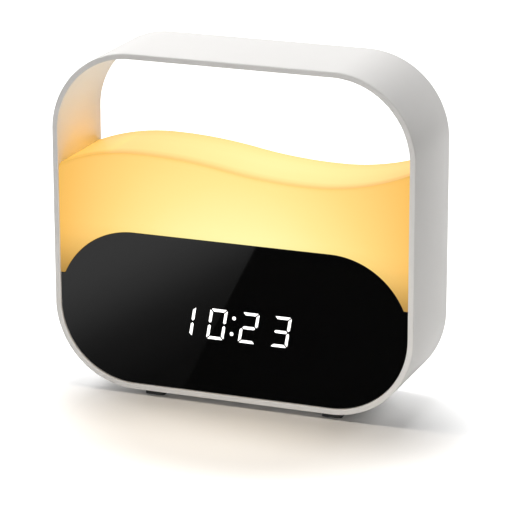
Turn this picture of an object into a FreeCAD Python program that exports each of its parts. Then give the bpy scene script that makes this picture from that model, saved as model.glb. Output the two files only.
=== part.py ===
import FreeCAD, Part
import math
import os
from types import SimpleNamespace

import Sketcher

# Sunrise alarm clock: a loop-shaped band that is also the handle, a wave-topped lamp shade across its
# middle, and a clock behind a dark lens below it. +X is to the right seen from the front, the front
# faces -Y, and Z = 0 is the surface that the feet stand on.

DRIVING_SIZES = {
    "band_width": 170.0,
    "band_height": 155.0,
    "band_depth": 47.5,
    "band_wall": 2.7,
    "band_corner": 38.0,
    "band_outer_round": 0.7,
    "band_inner_bevel": 0.3,
    "foot_drop": 2.2,
    "foot_length": 10.0,
    "foot_breadth": 12.0,
    "foot_round": 2.0,
    "left_foot_x": 38.0,
    "right_foot_x": 46.5,
    "foot_y": 16.0,
    "floor_screw_y": 13.5,
    "fit_gap": 0.15,
    "loose_gap": 0.3,
    "face_recess": 0.8,
    "shade_recess": 0.6,
    "shade_wall": 2.0,
    "shade_crease": 2.2,
    "crest_x": 44.9,
    "crest_height": 109.3,
    "trough_x": 36.1,
    "trough_height": 102.05,
    "wave_left_drop": 7.437,
    "wave_middle_curve": 228.0,
    "wave_right_rise": 10.184,
    "panel_thick": 2.0,
    "panel_top": 73.4,
    "panel_curve": 37.0,
    "panel_curve_x": 46.35,
    "shoulder_height": 51.3,
    "tape_thick": 0.3,
    "tape_inset": 1.5,
    "tape_strip": 4.0,
    "cover_thick": 2.2,
    "chassis_wall": 2.0,
    "chassis_inset": 0.3,
    "low_screw_x": 62.0,
    "low_screw_height": 15.5,
    "high_screw_x": 65.0,
    "high_screw_height": 57.0,
    "boss_radius": 3.2,
    "pilot_radius": 1.1,
    "pilot_depth": 10.0,
    "screw_radius": 1.1,
    "screw_head_radius": 2.4,
    "screw_head_thick": 1.1,
    "screw_hole_radius": 1.4,
    "screw_length": 8.0,
    "cross_reach": 1.1,
    "cross_breadth": 0.32,
    "cross_depth": 0.6,
    "floor_boss_height": 7.0,
    "floor_screw_bite": 3.5,
    "sheet_thick": 0.5,
    "sheet_climb": 0.62,
    "lamp_board_length": 84.0,
    "lamp_board_breadth": 14.0,
    "board_thick": 1.6,
    "led_count": 12.0,
    "led_pitch": 6.4,
    "led_side": 3.5,
    "led_thick": 0.8,
    "lamp_screw_x": 39.6,
    "small_screw_radius": 0.9,
    "small_head_radius": 1.8,
    "small_head_thick": 1.0,
    "small_boss_radius": 2.4,
    "small_screw_length": 6.0,
    "digit_height": 15.2,
    "digit_width": 8.95,
    "digit_pitch": 15.1,
    "digit_stroke": 1.7,
    "digit_slant": 9.5,
    "segment_gap": 0.22,
    "segment_depth": 2.5,
    "time_centre_x": 0.9,
    "time_centre_height": 35.1,
    "colon_dot_radius": 1.15,
    "colon_spread": 7.4,
    "display_margin": 2.0,
    "display_thick": 7.0,
    "display_board_margin": 4.5,
    "window_corner": 0.5,
    "main_board_left": 27.0,
    "main_board_right": 57.0,
    "main_board_low": 12.5,
    "main_board_high": 64.0,
    "board_setback": 7.25,
    "board_screw_inset": 4.0,
    "controller_x": -6.0,
    "controller_height": 36.0,
    "controller_side": 10.0,
    "controller_thick": 1.4,
    "amplifier_x": -19.0,
    "amplifier_height": 30.0,
    "amplifier_side": 5.0,
    "amplifier_thick": 1.2,
    "timekeeper_x": 14.0,
    "timekeeper_height": 40.0,
    "timekeeper_side": 5.0,
    "timekeeper_thick": 1.5,
    "regulator_x": 22.0,
    "regulator_height": 20.0,
    "regulator_side": 6.0,
    "regulator_thick": 2.0,
    "input_can_x": -12.0,
    "input_can_height": 20.0,
    "input_can_radius": 3.15,
    "sound_can_x": -20.0,
    "sound_can_height": 41.0,
    "sound_can_radius": 2.5,
    "lamp_can_x": 2.0,
    "lamp_can_height": 24.0,
    "lamp_can_radius": 2.5,
    "can_length": 5.4,
    "key_height": 54.0,
    "first_key_x": 16.0,
    "key_pitch": 13.0,
    "key_radius": 4.5,
    "key_proud": 0.6,
    "key_round": 0.5,
    "key_flange_radius": 5.6,
    "key_flange_thick": 0.8,
    "key_flange_gap": 0.08,
    "key_post_radius": 1.8,
    "key_travel": 0.35,
    "switch_side": 6.2,
    "switch_thick": 3.5,
    "plunger_radius": 1.75,
    "plunger_proud": 1.5,
    "plunger_buried": 1.5,
    "plunger_gap": 0.06,
    "speaker_x": 50.0,
    "speaker_height": 38.0,
    "speaker_radius": 18.5,
    "speaker_flange": 1.0,
    "speaker_cup_radius": 15.0,
    "speaker_cup_depth": 9.0,
    "speaker_magnet_radius": 11.0,
    "speaker_magnet_thick": 6.0,
    "speaker_shell": 0.8,
    "voice_radius": 5.0,
    "cone_thick": 0.6,
    "cone_wall": 0.45,
    "gasket_thick": 0.8,
    "gasket_width": 2.5,
    "speaker_ring_wall": 1.5,
    "speaker_ring_depth": 4.0,
    "grille_hole_radius": 0.8,
    "grille_pitch": 3.6,
    "grille_rings": 4.0,
    "socket_x": 12.0,
    "socket_height": 16.5,
    "socket_width": 8.94,
    "socket_thick": 3.26,
    "socket_depth": 8.6,
    "socket_wall": 0.3,
    "socket_floor": 1.5,
    "socket_side_flat": 0.05,
    "tongue_setback": 1.0,
    "tongue_width": 6.7,
    "tongue_thick": 0.7,
    "cell_x": 42.0,
    "cell_height": 25.0,
    "cell_radius": 10.0,
    "cell_thick": 3.2,
    "cup_wall": 1.2,
    "cup_floor": 1.2,
    "contact_thick": 0.3,
    "contact_width": 5.0,
    "contact_length": 15.0,
    "contact_spread": 4.0,
    "door_radius": 13.0,
    "door_thick": 1.4,
    "door_tab": 6.0,
    "door_tab_round": 1.4,
    "door_screw_length": 5.0,
    "ribbon_thick": 0.3,
    "ribbon_width": 14.0,
    "ribbon_bend": 5.0,
    "ribbon_drop": 6.0,
    "ribbon_climb": 8.0,
    "lead_thick": 1.0,
    "lead_width": 2.4,
    "lead_bend": 3.0,
    "lead_drop": 6.0,
    "lead_slot_y": 5.5,
    "lamp_lead_offset": 20.0,
    "speaker_lead_bend": 1.5,
    "speaker_lead_start": 3.0,
    "speaker_lead_reach": 12.0,
    "speaker_lead_bow": 8.0,
    "speaker_lead_inset": 4.0,
}

KEYS = ("hour", "minute", "alarm", "light", "volume", "snooze")
CHIPS = ("controller", "amplifier", "timekeeper", "regulator")
CANS = ("input_can", "sound_can", "lamp_can")
DIGITS = 4

doc = FreeCAD.newDocument("SunriseAlarmClock")
sheet = doc.addObject("Spreadsheet::Sheet", "Sizes")
for row, (alias, number) in enumerate(DRIVING_SIZES.items(), 1):
    sheet.set(f"A{row}", alias)
    sheet.set(f"B{row}", str(number))
    sheet.setAlias(f"B{row}", alias)
doc.recompute()


class Size:
    """A length with the formula that gives it from the sheet, so that sums of sizes stay bound to it."""

    def __init__(self, value, formula=None):
        self.value = float(value)
        self.formula = formula or repr(float(value))

    def join(self, sign, other, value):
        return Size(value, f"({self.formula} {sign} {as_size(other).formula})")

    def __add__(self, other):
        return self.join("+", other, self.value + as_size(other).value)

    def __sub__(self, other):
        return self.join("-", other, self.value - as_size(other).value)

    def __mul__(self, other):
        return self.join("*", other, self.value * as_size(other).value)

    def __truediv__(self, other):
        return self.join("/", other, self.value / as_size(other).value)

    def __neg__(self):
        return Size(-self.value, f"(0 - {self.formula})")


def as_size(number):
    return number if isinstance(number, Size) else Size(number)


S = SimpleNamespace(**{name: Size(sheet.get(name), f"Sizes.{name}") for name in DRIVING_SIZES})
ZERO = Size(0)
# A cut that goes right through is as long as EVERYTHING, and one that stops at a face runs OVER past it
EVERYTHING = Size(200)
OVER = Size(1)
BEHIND = FreeCAD.Rotation(FreeCAD.Vector(1, 0, 0), -90)

# Heights above the surface, and faces along Y, that several pieces share
underside = S.foot_drop
inner_floor = underside + S.band_wall
inner_half = S.band_width / 2 - S.band_wall
shoulder = underside + S.shoulder_height
lens_front = -(S.band_depth / 2) + S.face_recess
lens_back = lens_front + S.panel_thick
chassis_front = lens_back + S.tape_thick
cover_back = S.band_depth / 2 - S.face_recess
cover_front = cover_back - S.cover_thick
chassis_back = cover_front - S.fit_gap
chassis_floor = inner_floor + S.fit_gap + S.chassis_inset
roof = underside + S.panel_top - S.chassis_inset
display_back = chassis_front + S.display_thick
board_back = cover_front - S.board_setback
board_front = board_back - S.board_thick
feet_at = (("left", -S.left_foot_x), ("right", S.right_foot_x))
ends = (("front", -1), ("back", 1))


def bind(thing, name, size):
    """Set one property of an object from the sheet."""
    thing.setExpression(name, as_size(size).formula)


def place(thing, x=ZERO, y=ZERO, z=ZERO, turn=None):
    thing.Placement = FreeCAD.Placement(
        FreeCAD.Vector(as_size(x).value, as_size(y).value, as_size(z).value),
        turn or FreeCAD.Rotation(),
    )
    for axis, size in zip("xyz", (x, y, z)):
        if as_size(size).formula != ZERO.formula:
            bind(thing, f"Placement.Base.{axis}", size)
    return thing


def block(name, x, y, z, length, depth, height):
    """A box from its low corner and its three sides."""
    thing = doc.addObject("Part::Box", name)
    for side, size in zip(("Length", "Width", "Height"), (length, depth, height)):
        bind(thing, side, size)
    return place(thing, x, y, z)


def centred_block(name, x, y, z, length, depth, height):
    """A box centred on x and z, from y backwards."""
    return block(name, as_size(x) - length / 2, y, as_size(z) - height / 2, length, depth, height)


def rod(name, x, y, z, radius, length):
    """A round bar from y backwards."""
    thing = doc.addObject("Part::Cylinder", name)
    bind(thing, "Radius", radius)
    bind(thing, "Height", length)
    return place(thing, x, y, z, BEHIND)


def upright(name, x, y, z, radius, height):
    thing = doc.addObject("Part::Cylinder", name)
    bind(thing, "Radius", radius)
    bind(thing, "Height", height)
    return place(thing, x, y, z)


def fuse(name, *things):
    joined = doc.addObject("Part::MultiFuse", name)
    joined.Shapes = list(things)
    return joined


def cut(name, base, *tools):
    left = doc.addObject("Part::Cut", name)
    left.Base = base
    left.Tool = tools[0] if len(tools) == 1 else fuse(f"{name}_openings", *tools)
    return left


def group(name, things):
    together = doc.addObject("Part::Compound", name)
    together.Links = list(things)
    return together


def new_body(name):
    return doc.addObject("PartDesign::Body", name)


def sketch_at(body, name, y=ZERO):
    """A sketch on the body's upright plane, moved back to y. Its X is the object's X, its Y the height."""
    sketch = body.newObject("Sketcher::SketchObject", name)
    plane = next(f for f in body.Origin.OriginFeatures if f.Role == "XZ_Plane")
    sketch.AttachmentSupport = [(plane, "")]
    sketch.MapMode = "FlatFace"
    if as_size(y).formula != ZERO.formula:
        bind(sketch, "AttachmentOffset.Base.z", -y)
    return sketch


def hold(sketch, kind, places, size):
    """Add one dimension to a sketch and bind it to the sheet."""
    number = sketch.addConstraint(Sketcher.Constraint(kind, *places, size.value))
    sketch.setExpression(f"Constraints[{number}]", size.formula)


def hold_x(sketch, edge, point, size):
    size = as_size(size)
    if size.value >= 0:
        hold(sketch, "DistanceX", (-1, 1, edge, point), size)
    else:
        hold(sketch, "DistanceX", (edge, point, -1, 1), -size)


def hold_z(sketch, edge, point, size):
    size = as_size(size)
    if size.value >= 0:
        hold(sketch, "DistanceY", (-1, 1, edge, point), size)
    else:
        hold(sketch, "DistanceY", (edge, point, -1, 1), -size)


def line(sketch, x1, z1, x2, z2):
    return sketch.addGeometry(Part.LineSegment(FreeCAD.Vector(x1, z1), FreeCAD.Vector(x2, z2)))


def arc(sketch, x, z, radius, start, end):
    circle = Part.Circle(FreeCAD.Vector(x, z), FreeCAD.Vector(0, 0, 1), radius)
    return sketch.addGeometry(Part.ArcOfCircle(circle, math.radians(start), math.radians(end)))


def join(sketch, kind, first, first_end, second, second_end):
    sketch.addConstraint(Sketcher.Constraint(kind, first, first_end, second, second_end))


def draw_circle(sketch, x, z, radius):
    x, z, radius = as_size(x), as_size(z), as_size(radius)
    centre = FreeCAD.Vector(x.value, z.value)
    edge = sketch.addGeometry(Part.Circle(centre, FreeCAD.Vector(0, 0, 1), radius.value))
    hold_x(sketch, edge, 3, x)
    hold_z(sketch, edge, 3, z)
    hold(sketch, "Radius", (edge,), radius)


def draw_rounded_box(sketch, left, right, low, high, radius):
    """A rectangle with four equal round corners."""
    left, right, low, high, radius = (as_size(n) for n in (left, right, low, high, radius))
    x1, x2, z1, z2, r = left.value, right.value, low.value, high.value, radius.value
    sides = [
        line(sketch, x1 + r, z1, x2 - r, z1),
        line(sketch, x2, z1 + r, x2, z2 - r),
        line(sketch, x2 - r, z2, x1 + r, z2),
        line(sketch, x1, z2 - r, x1, z1 + r),
    ]
    corners = [
        arc(sketch, x2 - r, z1 + r, r, 270, 360),
        arc(sketch, x2 - r, z2 - r, r, 0, 90),
        arc(sketch, x1 + r, z2 - r, r, 90, 180),
        arc(sketch, x1 + r, z1 + r, r, 180, 270),
    ]
    for number, corner in enumerate(corners):
        join(sketch, "Tangent", sides[number], 2, corner, 1)
        join(sketch, "Tangent", corner, 2, sides[(number + 1) % 4], 1)
        hold(sketch, "Radius", (corner,), radius)
    for side, direction in zip(sides, ("Horizontal", "Vertical", "Horizontal", "Vertical")):
        sketch.addConstraint(Sketcher.Constraint(direction, side))
    hold_z(sketch, sides[0], 1, low)
    hold_x(sketch, sides[1], 1, right)
    hold_z(sketch, sides[2], 1, high)
    hold_x(sketch, sides[3], 1, left)


def draw_lens_outline(sketch, inset):
    """The outline that the lens, chassis and rear cover share: it follows the inside of the band up to the
    shoulders, steps in to two large arcs and ends in a flat top."""
    inset = as_size(inset)
    corner = S.band_corner - S.band_wall - S.fit_gap - inset
    corner_x = S.band_width / 2 - S.band_corner
    corner_z = underside + S.band_corner
    curve = S.panel_curve - inset
    curve_z = underside + S.panel_top - S.panel_curve
    step = shoulder - inset
    side = corner_x.value + corner.value
    rise = step.value - curve_z.value
    step_x = S.panel_curve_x.value + math.sqrt(curve.value**2 - rise**2)
    lift = math.degrees(math.asin(rise / curve.value))
    top = curve_z.value + curve.value
    low = corner_z.value - corner.value
    edge_x = S.panel_curve_x.value
    floor = line(sketch, -corner_x.value, low, corner_x.value, low)
    low_right = arc(sketch, corner_x.value, corner_z.value, corner.value, 270, 360)
    right = line(sketch, side, corner_z.value, side, step.value)
    right_step = line(sketch, side, step.value, step_x, step.value)
    high_right = arc(sketch, edge_x, curve_z.value, curve.value, lift, 90)
    flat_top = line(sketch, edge_x, top, -edge_x, top)
    high_left = arc(sketch, -edge_x, curve_z.value, curve.value, 90, 180 - lift)
    left_step = line(sketch, -step_x, step.value, -side, step.value)
    left = line(sketch, -side, step.value, -side, corner_z.value)
    low_left = arc(sketch, -corner_x.value, corner_z.value, corner.value, 180, 270)
    order = [floor, low_right, right, right_step, high_right, flat_top, high_left, left_step, left, low_left]
    sharp = {right, right_step, high_left, left_step}
    for first, second in zip(order, order[1:] + order[:1]):
        join(sketch, "Coincident" if first in sharp else "Tangent", first, 2, second, 1)
    for edge in (floor, right_step, flat_top, left_step):
        sketch.addConstraint(Sketcher.Constraint("Horizontal", edge))
    for edge in (right, left):
        sketch.addConstraint(Sketcher.Constraint("Vertical", edge))
    hold(sketch, "Radius", (low_right,), corner)
    hold(sketch, "Radius", (low_left,), corner)
    hold(sketch, "Radius", (high_right,), curve)
    hold(sketch, "Radius", (high_left,), curve)
    hold_x(sketch, low_right, 3, corner_x)
    hold_z(sketch, low_right, 3, corner_z)
    hold_x(sketch, low_left, 3, -corner_x)
    hold_x(sketch, high_right, 3, S.panel_curve_x)
    hold_z(sketch, high_right, 3, curve_z)
    hold_x(sketch, high_left, 3, -S.panel_curve_x)
    hold_z(sketch, right_step, 1, step)
    hold_z(sketch, left_step, 2, step)


def curve_through(reach, rise):
    """The radius of an arc that starts level and rises by so much over so long a reach."""
    return (reach * reach + rise * rise) / (rise * 2)


def draw_wave_outline(sketch, inset, low):
    """Straight sides under a wave of four tangent arcs: two over the crest on the left and two through the
    trough on the right. An inset keeps the arcs' centres, so the wall below the wave is even."""
    inset = as_size(inset)
    half = inner_half - S.fit_gap - inset
    crest_z = underside + S.crest_height - inset
    trough_z = underside + S.trough_height - inset
    left_curve = curve_through(half + inset - S.crest_x, S.wave_left_drop) - inset
    middle_curve = S.wave_middle_curve - inset
    right_curve = curve_through(half + inset - S.trough_x, S.wave_right_rise) + inset
    crest_x = -S.crest_x
    reach = S.trough_x.value + S.crest_x.value
    drop = crest_z.value - trough_z.value
    hollow_curve = (reach**2 + drop**2) / (2 * drop) - middle_curve.value
    turn = math.degrees(math.asin(reach / (middle_curve.value + hollow_curve)))
    left_turn = math.degrees(math.asin((half.value - S.crest_x.value) / left_curve.value))
    right_turn = math.degrees(math.asin((half.value - S.trough_x.value) / right_curve.value))
    left_z = crest_z.value - left_curve.value * (1 - math.cos(math.radians(left_turn)))
    right_z = trough_z.value + right_curve.value * (1 - math.cos(math.radians(right_turn)))
    floor = line(sketch, -half.value, low.value, half.value, low.value)
    right = line(sketch, half.value, low.value, half.value, right_z)
    left = line(sketch, -half.value, left_z, -half.value, low.value)
    rising = arc(
        sketch, S.trough_x.value, trough_z.value + right_curve.value, right_curve.value, 270, 270 + right_turn
    )
    hollow = arc(
        sketch, S.trough_x.value, trough_z.value + hollow_curve, hollow_curve, 270 - turn, 270
    )
    falling = arc(
        sketch, crest_x.value, crest_z.value - middle_curve.value, middle_curve.value, 90 - turn, 90
    )
    crest = arc(
        sketch, crest_x.value, crest_z.value - left_curve.value, left_curve.value, 90, 90 + left_turn
    )
    join(sketch, "Coincident", floor, 2, right, 1)
    join(sketch, "Coincident", right, 2, rising, 2)
    join(sketch, "Tangent", rising, 1, hollow, 2)
    join(sketch, "Tangent", hollow, 1, falling, 1)
    join(sketch, "Tangent", falling, 2, crest, 1)
    join(sketch, "Coincident", crest, 2, left, 1)
    join(sketch, "Coincident", left, 2, floor, 1)
    sketch.addConstraint(Sketcher.Constraint("Horizontal", floor))
    sketch.addConstraint(Sketcher.Constraint("Vertical", right))
    sketch.addConstraint(Sketcher.Constraint("Vertical", left))
    hold_z(sketch, floor, 1, low)
    hold_x(sketch, right, 1, half)
    hold_x(sketch, left, 1, -half)
    hold(sketch, "Radius", (rising,), right_curve)
    hold(sketch, "Radius", (falling,), middle_curve)
    hold(sketch, "Radius", (crest,), left_curve)
    hold_x(sketch, rising, 3, S.trough_x)
    hold_x(sketch, hollow, 3, S.trough_x)
    hold_x(sketch, falling, 3, crest_x)
    hold_x(sketch, crest, 3, crest_x)
    hold_z(sketch, falling, 2, crest_z)
    hold_z(sketch, rising, 1, trough_z)


def pad(body, sketch, length, both_ways=False):
    """Thicken a sketch backwards, or half each way."""
    feature = body.newObject("PartDesign::Pad", f"{sketch.Name}_pad")
    feature.Profile = sketch
    bind(feature, "Length", length)
    feature.Midplane = both_ways
    feature.Reversed = not both_ways
    doc.recompute()
    return feature


def pocket(body, sketch, length, both_ways=False):
    """Cut a sketch away backwards, or half each way, and make sure that something was cut."""
    before = body.Shape.Volume
    feature = body.newObject("PartDesign::Pocket", f"{sketch.Name}_pocket")
    feature.Profile = sketch
    bind(feature, "Length", length)
    feature.Midplane = both_ways
    doc.recompute()
    if body.Shape.Volume >= before:
        raise SystemExit(f"{feature.Name} cuts nothing")
    return feature


def dress(body, kind, keeps, size):
    """Fillet or bevel the edges of the body that pass the test."""
    base = body.Tip
    edges = [f"Edge{n}" for n, edge in enumerate(base.Shape.Edges, 1) if keeps(edge)]
    feature = body.newObject(f"PartDesign::{kind}", f"{body.Name}_{kind.lower()}_{len(body.Group)}")
    feature.Base = (base, edges)
    bind(feature, "Radius" if kind == "Fillet" else "Size", size)
    doc.recompute()
    return feature


def lies_at_y(edge, y):
    return all(abs(vertex.Y - y) < 1e-4 for vertex in edge.Vertexes)


def screw_at(name, x, y, z, radius, length, head_radius, head_thick, turn=None):
    """A screw whose head's top is at the given point, with a cross recess, its shank running forwards."""
    back = FreeCAD.Rotation(FreeCAD.Vector(1, 0, 0), 90)
    turn = turn or back
    head = doc.addObject("Part::Cylinder", f"{name}_head")
    bind(head, "Radius", head_radius)
    bind(head, "Height", head_thick)
    shank = doc.addObject("Part::Cylinder", f"{name}_shank")
    bind(shank, "Radius", radius)
    bind(shank, "Height", length)
    recess = []
    reach = head_radius * S.cross_reach
    breadth = head_radius * S.cross_breadth
    for number, (length_x, length_y) in enumerate(((reach, breadth), (breadth, reach))):
        arm = doc.addObject("Part::Box", f"{name}_arm_{number}")
        bind(arm, "Length", length_x)
        bind(arm, "Width", length_y)
        bind(arm, "Height", head_thick * S.cross_depth)
        place(arm, -(length_x / 2), -(length_y / 2), ZERO)
        recess.append(arm)
    whole = cut(f"{name}_screw", fuse(f"{name}_blank", head, shank), *recess)
    return place(whole, x, y, z, turn)


# The band is one moulding: a rounded square loop with an even wall, lightly rounded at its rims. Four
# screws pass up through its floor into the chassis, under the feet.
band = new_body("frame_band")
ring = sketch_at(band, "band_ring")
draw_rounded_box(
    ring,
    -(S.band_width / 2),
    S.band_width / 2,
    underside,
    underside + S.band_height,
    S.band_corner,
)
draw_rounded_box(
    ring,
    -inner_half,
    inner_half,
    inner_floor,
    underside + S.band_height - S.band_wall,
    S.band_corner - S.band_wall,
)
pad(band, ring, S.band_depth, both_ways=True)
rim_y = S.band_depth.value / 2


def on_rim(edge):
    return lies_at_y(edge, rim_y) or lies_at_y(edge, -rim_y)


def outer_rim(edge):
    middle = edge.valueAt((edge.FirstParameter + edge.LastParameter) / 2)
    corner = S.band_corner.value
    across = max(abs(middle.x) - (S.band_width.value / 2 - corner), 0)
    centre_z = underside.value + S.band_height.value / 2
    up = max(abs(middle.z - centre_z) - (S.band_height.value / 2 - corner), 0)
    return on_rim(edge) and math.hypot(across, up) > corner - S.band_wall.value / 2


def inner_rim(edge):
    return on_rim(edge) and not outer_rim(edge)


dress(band, "Fillet", outer_rim, S.band_outer_round)
dress(band, "Chamfer", inner_rim, S.band_inner_bevel)
band_block = cut(
    "frame_band_drilled",
    band,
    *(
        tool
        for hand, foot_x in feet_at
        for end, side_y in ends
        for tool in (
            upright(
                f"band_hole_{end}_{hand}",
                foot_x,
                S.floor_screw_y * side_y,
                underside - OVER,
                S.screw_hole_radius,
                S.band_wall + OVER * 2,
            ),
            upright(
                f"band_sink_{end}_{hand}",
                foot_x,
                S.floor_screw_y * side_y,
                underside - OVER,
                S.screw_head_radius + S.loose_gap,
                S.screw_head_thick + S.loose_gap + OVER,
            ),
        )
    ),
)
band.Label = "band_loop"
band_block.Label = "frame_band"

# The feet are small soft pads stuck under the band, over the heads of its screws.
feet = {}
for end, side_y in ends:
    for hand, foot_x in feet_at:
        name = f"foot_{end}_{hand}"
        foot = new_body(name)
        pad_sketch = foot.newObject("Sketcher::SketchObject", f"{name}_outline")
        ground = next(f for f in foot.Origin.OriginFeatures if f.Role == "XY_Plane")
        pad_sketch.AttachmentSupport = [(ground, "")]
        pad_sketch.MapMode = "FlatFace"
        draw_rounded_box(
            pad_sketch,
            -(S.foot_length / 2),
            S.foot_length / 2,
            -(S.foot_breadth / 2),
            S.foot_breadth / 2,
            S.foot_round,
        )
        rise = foot.newObject("PartDesign::Pad", f"{name}_pad")
        rise.Profile = pad_sketch
        bind(rise, "Length", S.foot_drop)
        feet[name] = place(foot, foot_x, S.foot_y * side_y, ZERO)

# The shade is a hollow shell, open below. Its back and front walls are cut out round the lens and the
# rear cover, and its side walls stand on the chassis's shoulders.
shade = new_body("lamp_diffuser")
shade_low = shoulder + S.fit_gap
shade_depth = S.band_depth - S.shade_recess * 2
outside = sketch_at(shade, "shade_outside")
draw_wave_outline(outside, 0, shade_low)
pad(shade, outside, shade_depth, both_ways=True)
crease_y = shade_depth.value / 2


def on_crease(edge):
    curved = not isinstance(edge.Curve, Part.Line)
    return curved and (lies_at_y(edge, crease_y) or lies_at_y(edge, -crease_y))


dress(shade, "Fillet", on_crease, S.shade_crease)
inside = sketch_at(shade, "shade_inside")
draw_wave_outline(inside, S.shade_wall, shade_low - OVER)
pocket(shade, inside, shade_depth - S.shade_wall * 2, both_ways=True)
opening = sketch_at(shade, "shade_opening")
draw_lens_outline(opening, -S.fit_gap)
pocket(shade, opening, EVERYTHING, both_ways=True)

# The lens is a sheet of dark gloss acrylic, held by a ring of foam tape.
lens = new_body("front_panel")
lens_outline = sketch_at(lens, "lens_outline")
draw_lens_outline(lens_outline, 0)
pad(lens, lens_outline, S.panel_thick)
place(lens, ZERO, lens_front, ZERO)

tape = new_body("panel_tape")
tape_outline = sketch_at(tape, "tape_outline")
draw_lens_outline(tape_outline, S.tape_inset)
draw_lens_outline(tape_outline, S.tape_inset + S.tape_strip)
pad(tape, tape_outline, S.tape_thick)
place(tape, ZERO, lens_back, ZERO)

# The display is a block with a slanted cell for each segment, filled with clear resin flush with its
# face, on a small board.
time_x = S.time_centre_x
time_z = underside + S.time_centre_height
slant = math.tan(math.radians(S.digit_slant.value))


def segment_outlines():
    """The seven segments of one digit about its own centre, upright: four mitred corners' worth of
    uprights, a top and a bottom bar, and a pointed middle bar."""
    a = S.digit_width.value / 2
    b = S.digit_height.value / 2
    stroke = S.digit_stroke.value
    gap = S.segment_gap.value
    bar = [(-a + gap, b), (a - gap, b), (a - gap - stroke, b - stroke), (-a + gap + stroke, b - stroke)]
    post = [
        (a, b - gap),
        (a, gap + stroke / 2),
        (a - stroke / 2, gap),
        (a - stroke, gap + stroke / 2),
        (a - stroke, b - gap - stroke),
    ]
    tip = a - stroke / 2 - gap
    flat = tip - stroke / 2
    middle = [(-tip, 0), (-flat, stroke / 2), (flat, stroke / 2), (tip, 0)]
    middle += [(flat, -stroke / 2), (-flat, -stroke / 2)]
    yield middle
    for down in (1, -1):
        yield [(x, z * down) for x, z in bar]
        for across in (1, -1):
            yield [(x * across, z * down) for x, z in post]


def segment_solid(points, centre_x):
    corners = [
        FreeCAD.Vector(centre_x + x + z * slant, chassis_front.value, time_z.value + z) for x, z in points
    ]
    face = Part.Face(Part.makePolygon(corners + corners[:1]))
    return face.extrude(FreeCAD.Vector(0, S.segment_depth.value, 0))


segment_shapes = []
for digit in range(DIGITS):
    digit_x = time_x.value + (digit - (DIGITS - 1) / 2) * S.digit_pitch.value
    segment_shapes += [segment_solid(points, digit_x) for points in segment_outlines()]
for side in (-1, 1):
    lift = side * S.colon_spread.value / 2
    segment_shapes.append(
        Part.makeCylinder(
            S.colon_dot_radius.value,
            S.segment_depth.value,
            FreeCAD.Vector(time_x.value + lift * slant, chassis_front.value, time_z.value + lift),
            FreeCAD.Vector(0, 1, 0),
        )
    )
segments = doc.addObject("Part::Feature", "display_segments")
segments.Shape = Part.makeCompound(segment_shapes)

display_length = S.digit_pitch * (DIGITS - 1) + S.digit_width + S.digit_height * slant + S.display_margin * 2
display_height = S.digit_height + S.display_margin * 2
display_body = centred_block(
    "display_blank", time_x, chassis_front, time_z, display_length, S.display_thick, display_height
)
display_block = cut("display_block", display_body, segments)
display_board_length = display_length + S.display_board_margin * 2
display_board_height = display_height + S.display_board_margin * 2
board_screw_x = display_board_length / 2 - S.small_boss_radius
board_screw_z = display_board_height / 2 - S.small_boss_radius
corners = [(side_x, side_z) for side_x in (-1, 1) for side_z in (-1, 1)]
display_board = cut(
    "display_board",
    centred_block(
        "display_board_blank",
        time_x,
        display_back,
        time_z,
        display_board_length,
        S.board_thick,
        display_board_height,
    ),
    *(
        rod(
            f"display_board_hole_{n}",
            time_x + board_screw_x * side_x,
            display_back - OVER,
            time_z + board_screw_z * side_z,
            S.small_screw_radius + S.fit_gap,
            S.board_thick + OVER * 2,
        )
        for n, (side_x, side_z) in enumerate(corners)
    ),
)
display_screws = group(
    "display_board_screws",
    [
        screw_at(
            f"display_{n}",
            time_x + board_screw_x * side_x,
            display_back + S.board_thick + S.small_head_thick,
            time_z + board_screw_z * side_z,
            S.small_screw_radius,
            S.small_screw_length,
            S.small_head_radius,
            S.small_head_thick,
        )
        for n, (side_x, side_z) in enumerate(corners)
    ],
)

# The chassis is a deep tray, closed in front except for the display's window and open behind. Bosses
# stand on its front wall for the two boards and the rear cover, and on its floor for the band.
chassis = new_body("chassis")
chassis_depth = chassis_back - chassis_front
shell_outline = sketch_at(chassis, "chassis_outline")
draw_lens_outline(shell_outline, S.chassis_inset)
pad(chassis, shell_outline, chassis_depth)
hollow_outline = sketch_at(chassis, "chassis_hollow", S.chassis_wall)
draw_lens_outline(hollow_outline, S.chassis_inset + S.chassis_wall)
pocket(chassis, hollow_outline, EVERYTHING)
window = sketch_at(chassis, "chassis_window")
window_gap = S.loose_gap
draw_rounded_box(
    window,
    time_x - display_length / 2 - window_gap,
    time_x + display_length / 2 + window_gap,
    time_z - display_height / 2 - window_gap,
    time_z + display_height / 2 + window_gap,
    S.window_corner,
)
pocket(chassis, window, S.chassis_wall + OVER)

cover_screws_at = [
    (S.low_screw_x * side, underside + S.low_screw_height) for side in (-1, 1)
] + [(S.high_screw_x * side, underside + S.high_screw_height) for side in (-1, 1)]
board_left = -S.main_board_left
board_right = S.main_board_right
board_low = underside + S.main_board_low
board_high = underside + S.main_board_high
board_screws_at = [
    (x, z)
    for x in (board_left + S.board_screw_inset, board_right - S.board_screw_inset)
    for z in (board_low + S.board_screw_inset, board_high - S.board_screw_inset)
]
display_screws_at = [
    (time_x + board_screw_x * side_x, time_z + board_screw_z * side_z) for side_x, side_z in corners
]


def bosses(name, places, radius, pilot, length):
    """Round bosses on the chassis's front wall, each with a pilot hole in its end."""
    outline = sketch_at(chassis, f"{name}_bosses", S.chassis_wall)
    for x, z in places:
        draw_circle(outline, x, z, radius)
    pad(chassis, outline, length)
    end = S.chassis_wall + length
    pilots = sketch_at(chassis, f"{name}_pilots", end - S.pilot_depth)
    for x, z in places:
        draw_circle(pilots, x, z, pilot)
    pocket(chassis, pilots, S.pilot_depth + OVER)


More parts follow.
